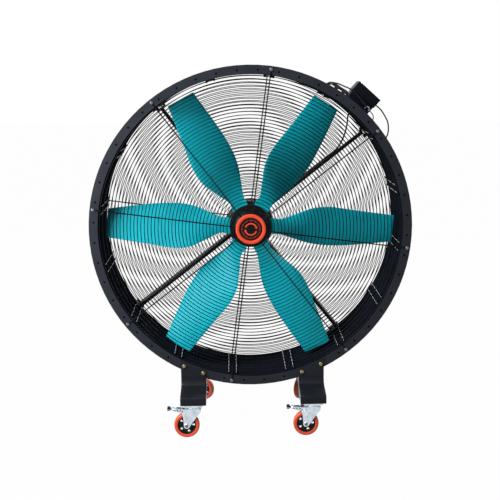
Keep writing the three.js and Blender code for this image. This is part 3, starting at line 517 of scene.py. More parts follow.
def hank_turns():
    """The hank's turns: the outer layer lane by lane to the flange, then the inner one back again."""
    pitch = (HANK_DEPTH - SUPPLY_DIAMETER - 2 * SEAT) / (HANK_LANES - 1)
    half = HANK_STRAIGHT / 2
    lanes = [(HANK_BEND + HANK_BAND / 4, lane) for lane in range(1, HANK_LANES)]
    lanes += [(HANK_BEND - HANK_BAND / 4, lane) for lane in reversed(range(HANK_LANES))]
    line = []
    for i, (radius, lane) in enumerate(lanes):
        y = HANK_LAST - pitch * lane
        for k in range(2 if i == 0 else 0, FOLD_STEPS + 1):
            a = math.pi * k / FOLD_STEPS
            line.append(on_hank(HANK_RADIUS + radius * math.cos(a), half + radius * math.sin(a), y))
        if i == len(lanes) - 1:
            break
        line += [on_hank(HANK_RADIUS - radius, half * share, y) for share in (RUN_POINT, -RUN_POINT)]
        for k in range(FOLD_STEPS + 1):
            a = math.pi * k / FOLD_STEPS
            line.append(on_hank(HANK_RADIUS - radius * math.cos(a), -half - radius * math.sin(a), y))
        # On the run that follows, the cord moves over to the next turn's lane and layer.
        after, next_y = lanes[i + 1][0], HANK_LAST - pitch * lanes[i + 1][1]
        for share, gone in ((-RUN_POINT, MOVED_OVER), (RUN_POINT, 1 - MOVED_OVER)):
            u = radius + (after - radius) * gone
            line.append(on_hank(HANK_RADIUS + u, half * share, y + (next_y - y) * gone))
    return line


def supply_line():
    """From the gland over the hank, round its turns and out to the plug."""
    u, v = GLAND_AT
    start = BOX_FRONT - GLAND_LENGTH
    under = HANK_RADIUS - HANK_BEND + HANK_BAND / 4
    lead = [
        from_box(u, v, start - SEAT),
        from_box(u, v, start - 14),
        from_box(u + 2, v + 12, BOX_FRONT - 45),
        from_box(u + 6, v + 42, BOX_FRONT - 53),
        from_box(u + 12, v + 74, BOX_FRONT - 54),
        from_box(u + 15, v + 111, BOX_FRONT - 58),
        from_box(u + 12.5, v + 137, BOX_FRONT - 65),
        polar(833, 56, BOX_FRONT - 75),
        polar(825.5, HANK_ANGLE + 1.2, HANK_FRONT + HANK_DEPTH - 10),
    ]
    tail = [
        beside_hank(under, 8, HANK_LAST),
        beside_hank(under + 1.5, -12, HANK_LAST + 4),
        beside_hank(under + 4, -36, HANK_LAST + 16),
        beside_hank(under + 6, -56, HANK_LAST + 26),
        on_plug(PLUG_TAIL + PLUG_LENGTH / 2 + 6),
        on_plug(PLUG_TAIL + PLUG_LENGTH / 2 - 2 + SEAT),
    ]
    return smooth_line(lead + hank_turns() + tail)


supply = supply_line()
supply_cord = cord("supply_cord", supply, SUPPLY_DIAMETER, black_sheath, "supply_lead", "supply_hank")


def supply_plug():
    """Moulded mains plug with a ribbed boot, a grip ring and two round pins."""
    half = PLUG_LENGTH / 2
    plug = bmesh.new()
    boot = [(0, half + PLUG_TAIL - 2), (5.1, half + PLUG_TAIL - 2)]
    for i in range(5):
        z = half + PLUG_TAIL - 5 - 4.6 * i
        r = 5.3 + 0.62 * i
        boot += [(r, z), (r - 1.1, z - 1.0), (r - 1.1, z - 2.2), (r + 0.3, z - 3.2)]
    body = boot + [
        (PLUG_RADIUS - 9, half + 5), (PLUG_RADIUS - 2.6, half + 0.6), (PLUG_RADIUS - 0.6, half - 1.6),
        (PLUG_RADIUS, half - 4), (PLUG_RADIUS, 3 - half), (PLUG_RADIUS - 0.8, 0.9 - half),
        (PLUG_RADIUS - 2.4, -half), (0, -half),
    ]
    put(plug, turned(body, 40, closed=False), Y_TO_Z)
    for side in (-1, 1):
        pin = [
            (0, 0), (PIN_RADIUS, 0), (PIN_RADIUS, PIN_LENGTH - 1.6), (PIN_RADIUS - 0.7, PIN_LENGTH - 0.2),
            (0, PIN_LENGTH),
        ]
        put(plug, turned(pin, 16, closed=False), Y_TO_MINUS_Z, shift(0, side * PIN_SPACING / 2, -half + 0.2))
    move(plug, shift(PLUG_SEAT, PLUG_Y, 0), ON_AXIS @ about_axis(HANK_ANGLE - PLUG_TURN))
    return finish("mains_plug", plug, black_nylon, "black_plastic", "chassis", "supply_plug")


plug = supply_plug()


def strap(high, deep, thick, width):
    """Band round a bundle, with rounded corners: high along X, deep along Y and wide along Z."""
    shape = bmesh.new()
    edges = []
    for radius in (TIE_CORNER, TIE_CORNER + thick):
        loop = []
        for i in range(20):
            quarter, step = divmod(i, 5)
            a = math.radians(90 * quarter + 22.5 * step)
            x = (1 if quarter in (0, 3) else -1) * (high / 2 - TIE_CORNER) + radius * math.cos(a)
            y = (1 if quarter in (0, 1) else -1) * (deep / 2 - TIE_CORNER) + radius * math.sin(a)
            loop.append((x, y, -width / 2))
        edges += closed_loop(shape, loop)[1]
    bmesh.ops.bridge_loops(shape, edges=edges)
    return thicken(shape, (0, 0, width))


def hank_ties():
    """Two nylon straps round the whole hank, each with its buckle at the back."""
    ties = bmesh.new()
    middle = HANK_FRONT + HANK_DEPTH / 2
    for v in TIE_PLACES:
        band = strap(2 * HANK_BEND + HANK_BAND, HANK_DEPTH, TIE_THICKNESS, TIE_WIDTH)
        put(ties, band, shift(HANK_RADIUS, middle, v))
        put(ties, block((9, 2.4, TIE_WIDTH + 2), (HANK_RADIUS + 14, middle + HANK_DEPTH / 2 + 1.2, v), 0.8))
    move(ties, ON_AXIS @ about_axis(HANK_ANGLE))
    return finish("hank_ties", ties, tie_nylon, "black_plastic", "chassis")


def at_distance(line, distance):
    """The point on a line at a distance from its start, and the line's direction there."""
    for a, b in zip(line, line[1:]):
        step = (b - a).length
        if distance <= step:
            break
        distance -= step
    return a + (b - a).normalized() * distance, (b - a).normalized()


def sleeve(line, profile):
    """A shape turned about a line. Each point of its profile is a radius and a distance along the line."""
    shape = turned(profile, 28)
    for vert in shape.verts:
        centre, ahead = at_distance(line, vert.co.y)
        vert.co = centre + ahead.to_track_quat("Y", "Z") @ Vector((vert.co.x, 0, vert.co.z))
    return shape


def gland_boot():
    """Tapered, ribbed strain relief on the supply cord where it leaves its gland."""
    profile = [(3.55, 0), (6.2, 0), (6.2, 3), (5.2, 4), (5.8, 6)]
    for i in range(4):
        profile += [(5.6 - 0.25 * i, 8 + 4 * i), (4.7 - 0.2 * i, 9 + 4 * i), (4.7 - 0.2 * i, 10 + 4 * i)]
    profile += [(4.5, 24), (4.1, 27), (3.55, 27)]
    boot = sleeve(supply, profile)
    move(boot, ON_AXIS)
    return finish("gland_boot", boot, black_nylon, "black_plastic", "chassis")


ties = hank_ties()
boot = gland_boot()


ARM_HALF = 8.0
UPPER_ARM_DEPTH = 40.0
LOWER_ARM_DEPTH = 105.0
MOTOR_LEAD_DIAMETER = 8.0
# The motor's lead lies beside the arm, clear of it by what the cable ties need.
LEAD_ON_ARM = ARM_HALF + MOTOR_LEAD_DIAMETER / 2 + 1.2
LEAD_BEHIND = MOUNT_FRONT + UPPER_ARM_DEPTH / 3
MOTOR_LEAD_ANGLE = 47.3
MOTOR_LEAD_Y = 22.0
MOTOR_BOSS_Y = 62.0
MOTOR_BOSS_TOP = 134.0
UPPER_ARM = ARM_ANGLE + ARM_LEAN[0]
MOTOR_BOSS_ANGLE = UPPER_ARM + math.degrees(math.asin(LEAD_ON_ARM / MOTOR_BOSS_TOP))


def beside_arm(radius, y):
    return polar(radius, UPPER_ARM + math.degrees(math.asin(LEAD_ON_ARM / radius)), y)


def fixed_cable(name, points, diameter, look, node):
    """A cable that is fastened at both ends."""
    line = smooth_line(points)
    piece = cord(name, line, diameter, look, node)


LINK_ANGLE = 31.0
LINK_Y = 5.0
EARTH_ANGLE = 39.6
EARTH_Y = -20.0
ENTRY_HEIGHT = 8.0
BOX_SIDE = -BOX_LENGTH / 2

fixed_cable("motor_cable", [
    polar(BOX_BOTTOM - SEAT, MOTOR_LEAD_ANGLE, MOTOR_LEAD_Y),
    polar(SHELL_RADIUS, MOTOR_LEAD_ANGLE, MOTOR_LEAD_Y),
    polar(BORE_RADIUS - 14, MOTOR_LEAD_ANGLE - 0.2, MOTOR_LEAD_Y + 2),
    polar(707, 44.8, 45),
    polar(670, 42.5, 67),
    polar(630, 40.5, 85),
    beside_arm(580, LEAD_BEHIND),
    beside_arm(500, LEAD_BEHIND),
    beside_arm(250, LEAD_BEHIND),
    beside_arm(190, MOUNT_FRONT + 6),
    polar(MOTOR_BOSS_TOP + 18, MOTOR_BOSS_ANGLE, MOTOR_BOSS_Y),
    polar(MOTOR_BOSS_TOP + SEAT, MOTOR_BOSS_ANGLE, MOTOR_BOSS_Y),
], MOTOR_LEAD_DIAMETER, black_sheath, "motor_lead")
fixed_cable("link_cable", [
    from_box(BOX_SPLIT + 24, BOX_SIDE - LID_OVERHANG - SEAT, LINK_Y),
    from_box(BOX_SPLIT + 24.6, BOX_SIDE - LID_OVERHANG - 15, LINK_Y),
    from_box(BOX_SPLIT + 25, BOX_SIDE - 42, LINK_Y),
    polar(872.8, 37.9, LINK_Y),
    polar(866.4, 35.8, LINK_Y),
    polar(853.7, 34.1, LINK_Y),
    polar(836.6, 32.6, LINK_Y),
    polar(815, 31.5, LINK_Y),
    polar(790, LINK_ANGLE, LINK_Y),
    polar(SHELL_RADIUS + ENTRY_HEIGHT + SEAT, LINK_ANGLE, LINK_Y),
], 7.0, black_sheath, "link_lead")
fixed_cable("earth_cable", [
    from_box(BOX_SPLIT - 20, BOX_SIDE - SEAT, EARTH_Y),
    from_box(BOX_SPLIT - 19.5, BOX_SIDE - 12, EARTH_Y),
    polar(828, 41.2, EARTH_Y),
    polar(818, 40.1, EARTH_Y),
    polar(795, EARTH_ANGLE, EARTH_Y),
    polar(SHELL_RADIUS + ENTRY_HEIGHT + SEAT, EARTH_ANGLE, EARTH_Y),
], 5.0, grey_sheath, "earth_lead")

# ------------------------------------------------------------------ drum

FLANGE_RADIUS = 800.0
DRUM_HALF = 195.0
FLANGE = 3.0
FIRST_ROD = -7.8
CHANNELS = 16
CHANNEL_HALF = 21.0
CHANNEL_SHEET = 2.5
CHANNEL_HEIGHT = 12.0
CHANNEL_END = 7.0
SEAM_ANGLE = -96.5
HOLE_STEP = 7.5
HOLE_RADIUS = 4.0
HOLE_CIRCLE = 776.0
FIRST_HOLE = 4.35


def flange_sector():
    """The flange's share round one of its holes."""
    half = HOLE_STEP / 2
    inner, middle = SHELL_RADIUS + 1.4, (SHELL_RADIUS + FLANGE_RADIUS) / 2
    rim = [
        (inner, -half), (inner, 0), (inner, half), (middle, half),
        (FLANGE_RADIUS, half), (FLANGE_RADIUS, 0), (FLANGE_RADIUS, -half), (middle, -half),
    ]
    outer = [polar(radius, angle) for radius, angle in rim]
    centre = polar(HOLE_CIRCLE, 0)
    hole = [centre + HOLE_RADIUS * (point - centre).normalized() for point in outer]
    return plate_sector(outer, hole, FLANGE, half)


def repeat(shape, count, step):
    """Copies a shape round the fan's axis."""
    bmesh.ops.spin(
        shape, geom=shape.verts[:] + shape.edges[:] + shape.faces[:], cent=(0, 0, 0), axis=(0, -1, 0),
        angle=math.radians(step * (count - 1)), steps=count - 1, use_duplicate=True,
    )
    return shape


def drum_channel():
    """Lipped channel along the bore, open towards the axis."""
    half, sheet = CHANNEL_HALF, CHANNEL_SHEET
    base, rim = BORE_RADIUS - sheet, BORE_RADIUS - CHANNEL_HEIGHT
    outline = [
        (BORE_RADIUS + 0.8, -half), (BORE_RADIUS + 0.8, half), (rim, half), (rim, half - sheet),
        (base, half - sheet), (base, sheet - half), (rim, sheet - half), (rim, -half),
    ]
    end = DRUM_HALF - CHANNEL_END
    return soften(sheet_metal(outline, 2 * end, -end), 0.5, 1)


def lead_boss(angle, y):
    """Cable entry on the drum's outside: a seat, a hexagon and a ribbed cap."""
    boss = bmesh.new()
    put(boss, turned([(0, -1), (11, -1), (11, 1.6), (10, 2.4), (0, 2.4)], 28, closed=False))
    put(boss, soften(turned([(0, 2), (9.6, 2), (9.6, 5), (0, 5)], 6, closed=False), 0.4, 1))
    cap = [(0, 4), (7.6, 4), (7.2, ENTRY_HEIGHT - 1), (6.0, ENTRY_HEIGHT), (0, ENTRY_HEIGHT)]
    put(boss, turned(cap, 24, closed=False))
    return move(boss, Y_TO_X, shift(SHELL_RADIUS, y, 0), about_axis(angle))


def drum():
    """Rolled shell, turned out into its two flanges, with the channels on its bore and two cable entries."""
    front = -DRUM_HALF
    shell = [
        (BORE_RADIUS, front + 4), (BORE_RADIUS + 0.5, front + 1.7), (BORE_RADIUS + 1.7, front + 0.4),
        (SHELL_RADIUS + 1.4, front), (SHELL_RADIUS + 1.4, front + FLANGE), (SHELL_RADIUS, front + 4.4),
    ]
    whole = bmesh.new()
    put(whole, turned(shell + [(r, -y) for r, y in reversed(shell)], 192))
    for side in (-1, 1):
        ring = repeat(flange_sector(), round(360 / HOLE_STEP), HOLE_STEP)
        move(ring, shift(0, front, 0))
        if side > 0:
            mirrored(ring, "Y")
        put(whole, ring, about_axis(FIRST_HOLE))
    for i in range(CHANNELS):
        put(whole, drum_channel(), about_axis(FIRST_ROD + 360 / CHANNELS * i))
    put(whole, lead_boss(LINK_ANGLE, LINK_Y))
    put(whole, lead_boss(EARTH_ANGLE, EARTH_Y))
    piece = finish("drum", move(whole, ON_AXIS), drum_coat, "black_coat", "chassis", "drum_shell")
    # Painted shade: the bore is darker and matt. Painted highlight: the channels' lips are light grey.
    piece.data.materials.append(bore_painted_shade)
    piece.data.materials.append(lip_painted_highlight)
    for face in piece.data.polygons:
        radius = math.hypot(face.center.x, face.center.z - AXIS_HEIGHT * MM) / MM
        if radius < BORE_RADIUS - CHANNEL_HEIGHT + 0.6:
            face.material_index = 2
        elif radius < BORE_RADIUS + 1:
            face.material_index = 1


drum()


def drum_trim():
    """Weld seam along the drum's underside, the flanges' butt straps and the motor lead's grommet."""
    trim = bmesh.new()
    end = DRUM_HALF - 6
    seam = sheet_metal([(0, -3), (0, 3), (1.2, 1.6), (1.5, 0), (1.2, -1.6)], 2 * end, -end)
    put(trim, seam, shift(SHELL_RADIUS - 0.2, 0, 0), about_axis(SEAM_ANGLE))
    low, high = SHELL_RADIUS + 4, FLANGE_RADIUS - 3
    for y in (-DRUM_HALF + FLANGE + 0.1, DRUM_HALF - FLANGE - 2.1):
        butt_strap = sheet_metal([(low, -16), (high, -16), (high, 16), (low, 16)], 2.0, y)
        put(trim, soften(butt_strap, 0.5, 1), about_axis(SEAM_ANGLE))
    grommet = [(4.4, -3), (7.4, -3), (7.8, -2), (6.4, -1), (6.4, 2), (7.8, 3), (7.4, 4), (4.4, 4)]
    put(trim, turned(grommet, 24), Y_TO_X, shift(BORE_RADIUS, MOTOR_LEAD_Y, 0), about_axis(MOTOR_LEAD_ANGLE))
    finish("drum_trim", move(trim, ON_AXIS), drum_coat, "black_coat", "chassis")


drum_trim()


def flange_caps():
    """Black caps in the small holes of both flanges."""
    caps = bmesh.new()
    for i in range(round(360 / HOLE_STEP)):
        for side in (-1, 1):
            cap = [(0, -1.3), (3.2, -1.2), (4.8, -0.9), (5.2, -0.4), (5.2, 0.2), (HOLE_RADIUS, 2.2), (0, 2.2)]
            head = move(turned(cap, 16, closed=False), shift(HOLE_CIRCLE, -DRUM_HALF + 0.5, 0))
            if side > 0:
                mirrored(head, "Y")
            put(caps, head, about_axis(FIRST_HOLE + HOLE_STEP * i))
    finish("flange_caps", move(caps, ON_AXIS), cap_nylon, "black_plastic", "chassis")


flange_caps()

# ------------------------------------------------------------------ guards

RODS = 8
ROD_RADIUS = 3.0
WIRE_RADIUS = 2.0
RINGS = 40
FIRST_RING = 84.0
LAST_RING = 748.0
ROD_END = 783.0
EYE_HEIGHT = 4.0
GUARD_FACE = DRUM_HALF + SEAT


def wire_steps(radius):
    """How many straight pieces a ring of wire is made of."""
    if radius < 250:
        return 64
    return 96 if radius < 500 else 144


def guard(side):
    """Concentric wires welded behind radial rods. Side is -1 at the front and 1 at the back."""
    whole = bmesh.new()
    wire_at = GUARD_FACE - WIRE_RADIUS + 0.3
    for i in range(RINGS):
        r = FIRST_RING + (LAST_RING - FIRST_RING) * i / (RINGS - 1)
        angles = [math.tau * k / 6 for k in range(6)]
        section = [(r + WIRE_RADIUS * math.cos(a), wire_at + WIRE_RADIUS * math.sin(a)) for a in angles]
        put(whole, turned(section, wire_steps(r)))
    bolts = bmesh.new()
    for i in range(RODS):
        bar = rod((60, GUARD_FACE + ROD_RADIUS, 0), (ROD_END - 8, GUARD_FACE + ROD_RADIUS, 0), ROD_RADIUS)
        eye = [(4.2, 0), (9.0, 0), (9.5, 0.8), (9.5, EYE_HEIGHT - 0.8), (9.0, EYE_HEIGHT), (4.2, EYE_HEIGHT)]
        turn = about_axis(FIRST_ROD + 360 / RODS * i)
        put(whole, bar, turn)
        put(whole, turned(eye, 24), shift(ROD_END, GUARD_FACE, 0), turn)
        put(bolts, hex_bolt(6.6, 4.6, 8.4), shift(ROD_END, GUARD_FACE + EYE_HEIGHT, 0), turn)
    hub = [(0, 3), (68, 3), (70, 4), (70, 5), (69, 6), (0, 6)]
    put(whole, turned([(r, GUARD_FACE + y) for r, y in hub], 64, closed=False))
    if side < 0:
        mirrored(whole, "Y")
        mirrored(bolts, "Y")
    end = "front" if side < 0 else "rear"
    wires = move(whole, ON_AXIS)
    finish(f"{end}_guard_wires", wires, wire_coat, "guard_wire", "chassis", f"{end}_guard", smooth=62)
    finish(f"{end}_guard_bolts", move(bolts, ON_AXIS), bolt_black, "guard_wire", "chassis")


def hex_bolt(radius, height, washer):
    """Chamfered hexagon head on a washer, standing on Y = 0."""
    bolt = turned([(0, 0), (washer, 0), (washer, 1.1), (washer - 0.4, 1.5), (0, 1.5)], 28, closed=False)
    head = [(0, 1.5), (radius, 1.5), (radius, height - 0.6), (radius - 1.0, height), (0, height)]
    return put(bolt, soften(turned(head, 6, closed=False), 0.25, 1))


guard(-1)
guard(1)

# ------------------------------------------------------------------ badge

BADGE_BACK = -DRUM_HALF - 2 * SEAT - 6.0
TICKS = 36
TICK_RADIUS = 47.5
ARROW_SWEEP = 140.0


def badge():
    """Enamelled ring round a plain black disc with a fine groove."""
    front = BADGE_BACK - 7.5
    ring = [
        (57.3, BADGE_BACK), (57.3, front + 3.2), (58.2, front + 1.1), (60, front), (71, front),
        (73.6, front + 0.9), (75, front + 3.0), (75, BADGE_BACK),
    ]
    disc = [
        (0, 0), (57, 0), (57, -2.6), (56.4, -3), (51, -3), (50.7, -2.4), (49.9, -2.4), (49.6, -3), (0, -3),
    ]
    rim = move(turned(ring, 96), ON_AXIS)
    finish("badge_rim", rim, badge_enamel, "badge_orange", "chassis", "badge_ring")
    face = move(turned([(r, BADGE_BACK + y) for r, y in disc], 96, closed=False), ON_AXIS)
    finish("badge_face", face, badge_print, "black_plastic", "chassis", "badge_disc")


def badge_marks():
    """Ticks round the disc, and two arrows that turn with the blades' way round."""
    marks = bmesh.new()
    for i in range(TICKS):
        long = 4.5 if i % 3 else 7.5
        tick = block((long, 0.5, 2.2), (TICK_RADIUS - long / 2, BADGE_BACK - 3.1, 0), 0.15, 1)
        put(marks, tick, about_axis(360 / TICKS * i))
    for start in (20, 200):
        sweep = [start + ARROW_SWEEP * t / 16 for t in range(17)]
        arc = [polar(31.5, angle) for angle in sweep] + [polar(25, angle) for angle in reversed(sweep)]
        tip = [polar(35, start + 1), polar(21.5, start + 1), polar(28.25, start - 20)]
        for outline in (arc, tip):
            put(marks, sheet_metal([(p.x, p.z) for p in outline], 0.5, BADGE_BACK - 3.4))
    finish("badge_marks", move(marks, ON_AXIS), badge_enamel, "badge_orange", "chassis")


badge()
badge_marks()

# ------------------------------------------------------------------ rotor

BLADES = 6
BLADE_PLANE = -85.0
HUB_RADIUS = 105.0
HUB_PLATE = 10.0
HUB_BOLTS = 12
BLADE_ROOT = 52.0
BLADE_TIP = 720.5
BLADE_THICKNESS = 10.0
FIRST_BLADE = -2.1
SHAFT_RADIUS = 17.0
HUB_BORE = SHAFT_RADIUS + SEAT
LEADING = [(52, 24), (105, 42), (150, 38), (215, 66), (305, 104), (390, 112), (520, 96), (720.5, 72)]
TRAILING = [(52, 24), (105, 39), (150, 42), (215, 64), (290, 89), (365, 100), (480, 98), (720.5, 69)]
PITCH = [(110, 0), (240, 30), (430, 25), (720.5, 16)]
SECTION = [(110, 10), (240, 8), (720.5, 5)]
HUB_BACK = BLADE_PLANE + BLADE_THICKNESS / 2 + SEAT + HUB_PLATE
HUB_FRONT = BLADE_PLANE - BLADE_THICKNESS / 2 - SEAT - HUB_PLATE


def along(stations, r):
    """A value along the blade, on a smooth curve through a few stations."""
    last = len(stations) - 1
    after = next((i for i, (at, _) in enumerate(stations) if at >= r), last)
    after = min(last, max(1, after))
    (r0, v0), (r1, v1) = stations[after - 1], stations[after]

    def slope(i):
        (ra, va), (rb, vb) = stations[max(0, i - 1)], stations[min(last, i + 1)]
        return (vb - va) / (rb - ra)

    t = min(1.0, max(0.0, (r - r0) / (r1 - r0)))
    m0, m1 = slope(after - 1) * (r1 - r0), slope(after) * (r1 - r0)
    t2, t3 = t * t, t * t * t
    return v0 * (2 * t3 - 3 * t2 + 1) + m0 * (t3 - 2 * t2 + t) + v1 * (3 * t2 - 2 * t3) + m1 * (t3 - t2)


def blade(angle):
    """Moulded paddle: flat where the hub clamps it, then twisted, cambered and tapered."""
    across = [-0.985 + 1.97 * k / 12 for k in range(13)]
    section = [(s, -1) for s in across] + [(0.995, -0.72), (1, 0), (0.995, 0.72)]
    section += [(s, 1) for s in reversed(across)] + [(-0.995, 0.72), (-1, 0), (-0.995, -0.72)]
    radii = [BLADE_ROOT, 80, HUB_RADIUS + 3, 112, 120]
    while radii[-1] < BLADE_TIP - 14:
        radii.append(radii[-1] + 14)
    radii += [BLADE_TIP - 1.2, BLADE_TIP]
    shape = drawn_out([(0, face, s) for s, face in section], 1.0, len(radii) - 1)
    for vert in shape.verts:
        r = radii[round(vert.co.x)]
        face, s = vert.co.y, vert.co.z
        reach = along(LEADING, r) if s > 0 else along(TRAILING, r)
        pitch = math.radians(along(PITCH, r))
        flat = min(1.0, max(0.0, (r - HUB_RADIUS - 5) / 120))
        thickness = BLADE_THICKNESS if r < HUB_RADIUS + 5 else along(SECTION, r)
        fullness = 1 - 0.55 * flat * s * s
        if r > BLADE_TIP - 0.1:
            fullness *= 0.7
        camber = 0.09 * reach * flat * (1 - s * s)
        v = s * reach
        vert.co = (r, BLADE_PLANE - v * math.tan(pitch) - camber + face * thickness * fullness / 2, v)
    return move(shape, ON_AXIS @ about_axis(angle))


def rotor():
    """Six paddles between the clamp plate in front and the hub plate behind."""
    for i in range(BLADES):
        shape = blade(FIRST_BLADE + 360 / BLADES * i)
        finish(f"paddle_{i + 1}", shape, blade_plastic, "blade_plastic", "rotor", f"blade_{i + 1}", smooth=50)
    back = HUB_FRONT + HUB_PLATE
    nose = HUB_FRONT - 12
    cap = [
        (0, back), (104.4, back), (105, back - 0.6), (105, HUB_FRONT + 2.4), (103.6, HUB_FRONT + 0.6),
        (101, HUB_FRONT), (96, HUB_FRONT), (95, HUB_FRONT + 1), (93, HUB_FRONT + 1), (92, HUB_FRONT),
        (80, HUB_FRONT), (77, HUB_FRONT - 1.5), (62, nose + 3.2), (58, nose + 0.8), (54, nose), (36, nose),
        (35, nose + 1.6), (20, nose + 1.6), (19, nose), (0, nose),
    ]
    plate = turned(cap, 96, closed=False)
    for i in range(HUB_BOLTS):
        turn = about_axis(FIRST_BLADE + 360 / HUB_BOLTS * (i + 0.5))
        put(plate, hex_bolt(6.5, 6.5, 8.0), HALF_TURN, shift(86, HUB_FRONT, 0), turn)
    finish("hub_cap", move(plate, ON_AXIS), hub_coat, "black_coat", "rotor", "hub_clamp_plate")
    front = HUB_BACK - HUB_PLATE
    hub = [
        (HUB_BORE, back + SEAT), (46, back + SEAT), (46, front), (104, front), (105, front + 1),
        (105, HUB_BACK - 1), (104, HUB_BACK), (60, HUB_BACK), (46, HUB_BACK + 0.6), (39.5, HUB_BACK + 7),
        (38, HUB_BACK + 8), (HUB_BORE, HUB_BACK + 8),
    ]
    finish("hub_back", move(turned(hub, 96), ON_AXIS), hub_coat, "black_coat", "rotor", "rotor_hub")


rotor()

# ------------------------------------------------------------------ motor and its mount

MOTOR_RADIUS = 122.0
MOTOR_FRONT = -45.0
MOTOR_BACK = 80.0
MOTOR_FINS = 32
BEARING_RADIUS = 30.0
SHAFT_FRONT = -89.4
SHAFT_BACK = 20.0


def motor():
    """Finned die casting with ribbed end shields, four ears and a boss for the lead."""
    low = MOTOR_RADIUS - 8
    teeth = []
    for i in range(MOTOR_FINS):
        root, crest = low + 0.6, MOTOR_RADIUS
        for share, r in ((0.0, low), (0.36, root), (0.42, crest), (0.58, crest), (0.64, root)):
            p = polar(r, 360 / MOTOR_FINS * (i + share))
            teeth.append((p.x, p.z))
    whole = bmesh.new()
    put(whole, soften(sheet_metal(teeth, MOTOR_BACK - MOTOR_FRONT - 34, MOTOR_FRONT + 16), 0.5, 1, 50))
    bore, front, back = BEARING_RADIUS + SEAT, MOTOR_FRONT, MOTOR_BACK
    front_shield = [
        (bore, front + 12), (bore, front), (88, front), (92, front + 0.6), (114, front + 5), (118, front + 8),
        (118, front + 18), (113, front + 20), (60, front + 20),
    ]
    back_shield = [
        (0, back - 20), (113, back - 20), (118, back - 18), (118, back - 3), (115, back), (0, back),
    ]
    put(whole, turned(front_shield, 72))
    put(whole, turned(back_shield, 72, closed=False))
    for i in range(8):
        rib = block((52, 6, 5), (86, MOTOR_FRONT + 1.4, 0), 0.8, 1)
        put(whole, rib, about_axis(45 * (i + 0.5)))
    for i in range(4):
        ear = block((14, 20, 16), (114, MOTOR_FRONT + 18, 0), 1.5)
        put(whole, ear, about_axis(FIRST_ROD + 20 + 90 * i))
    boss_top = MOTOR_BOSS_TOP
    boss = [(0, boss_top - 27), (8, boss_top - 27), (8, boss_top - 3), (7.4, boss_top), (0, boss_top)]
    place = about_axis(MOTOR_BOSS_ANGLE) @ shift(0, MOTOR_BOSS_Y, 0)
    put(whole, turned(boss, 24, closed=False), Y_TO_X, place)
    finish("motor_housing", move(whole, ON_AXIS), motor_casting, "motor_casting", "chassis", "motor_body")


def shaft_and_bearing():
    """Ground shaft, and the sealed bearing that it runs in."""
    front, back = MOTOR_FRONT + SEAT, MOTOR_FRONT + 12 - SEAT
    race = [
        (HUB_BORE, front), (21, front), (21.6, front + 1.1), (26, front + 1.1), (26.6, front),
        (BEARING_RADIUS, front), (BEARING_RADIUS, back), (HUB_BORE, back),
    ]
    ring = move(turned(race, 64), ON_AXIS)
    finish("front_bearing", ring, ground_steel, "ground_steel", "chassis", "motor_bearing")
    front, back = SHAFT_FRONT, SHAFT_BACK
    journal = [
        (0, front), (SHAFT_RADIUS - 0.6, front), (SHAFT_RADIUS, front + 0.6), (SHAFT_RADIUS, back - 1),
        (SHAFT_RADIUS - 1, back), (0, back),
    ]
    bar = move(turned(journal, 48, closed=False), ON_AXIS)
    finish("rotor_shaft", bar, ground_steel, "ground_steel", "rotor", "motor_shaft")


motor()
shaft_and_bearing()


MOUNT_PLATE = 8.0
ARM_START = 40.0
FOOT_PLATE = 5.0


def mount_arm(depth, lean):
    """Folded arm, open at the back, that leans off the middle of its foot on the drum's channel."""
    front, back, half, sheet = MOUNT_FRONT, MOUNT_FRONT + depth, ARM_HALF, 3.0
    middle = (front + back) / 2
    foot_out = BORE_RADIUS - CHANNEL_HEIGHT - SEAT
    arm = bmesh.new()
    section = [
        (front, -half), (back, -half), (back, sheet - half), (front + sheet, sheet - half),
        (front + sheet, half - sheet), (back, half - sheet), (back, half), (front, half),
    ]
    bar = move(sheet_metal(section, foot_out - 1 - ARM_START, ARM_START), X_AND_Y_SWAPPED)
    put(arm, soften(bar, 0.8, 2, 50), about_axis(lean))
    put(arm, block((FOOT_PLATE, depth, 54), (foot_out - FOOT_PLATE / 2, middle, 0), 0.8))
    for side in (-1, 1):
        put(arm, hex_bolt(6.5, 6.5, 8.5), Y_TO_MINUS_X, shift(foot_out - FOOT_PLATE, middle, side * 17.5))
    return arm


def mount():
    """Plate behind the motor with its four arms, of which the two upper ones are shallower."""
    front, back = MOUNT_FRONT, MOUNT_FRONT + MOUNT_PLATE
    whole = turned([(30, front), (97, front), (98, front + 1), (98, back - 1), (97, back), (30, back)], 72)
    for i, lean in enumerate(ARM_LEAN):
        depth = UPPER_ARM_DEPTH if i < 2 else LOWER_ARM_DEPTH
        put(whole, mount_arm(depth, lean), about_axis(ARM_ANGLE + 90 * i))
    for i in range(4):
        put(whole, hex_bolt(8, 8, 11), shift(78, back, 0), about_axis(ARM_ANGLE + 45 + 90 * i))
    finish("motor_bracket", move(whole, ON_AXIS), mount_coat, "black_coat", "chassis", "motor_mount")


mount()


TIES_ALONG_ARM = (300, 410, 520)


def cable_ties():
    """Ties that hold the motor cable to its arm."""
    whole = bmesh.new()
    for r in TIES_ALONG_ARM:
        band = turned([(4.1, -2.2), (5.0, -2.2), (5.0, 2.2), (4.1, 2.2)], 24)
        put(band, block((4, 5, 4.4), (-6.2, 0, 0), 0.6))
        place = shift(math.sqrt(r * r - LEAD_ON_ARM**2), LEAD_BEHIND, LEAD_ON_ARM)
        put(whole, band, Y_TO_MINUS_X, place, about_axis(UPPER_ARM))
    finish("arm_cable_ties", move(whole, ON_AXIS), tie_nylon, "black_plastic", "chassis")


cable_ties()

# ------------------------------------------------------------------ legs

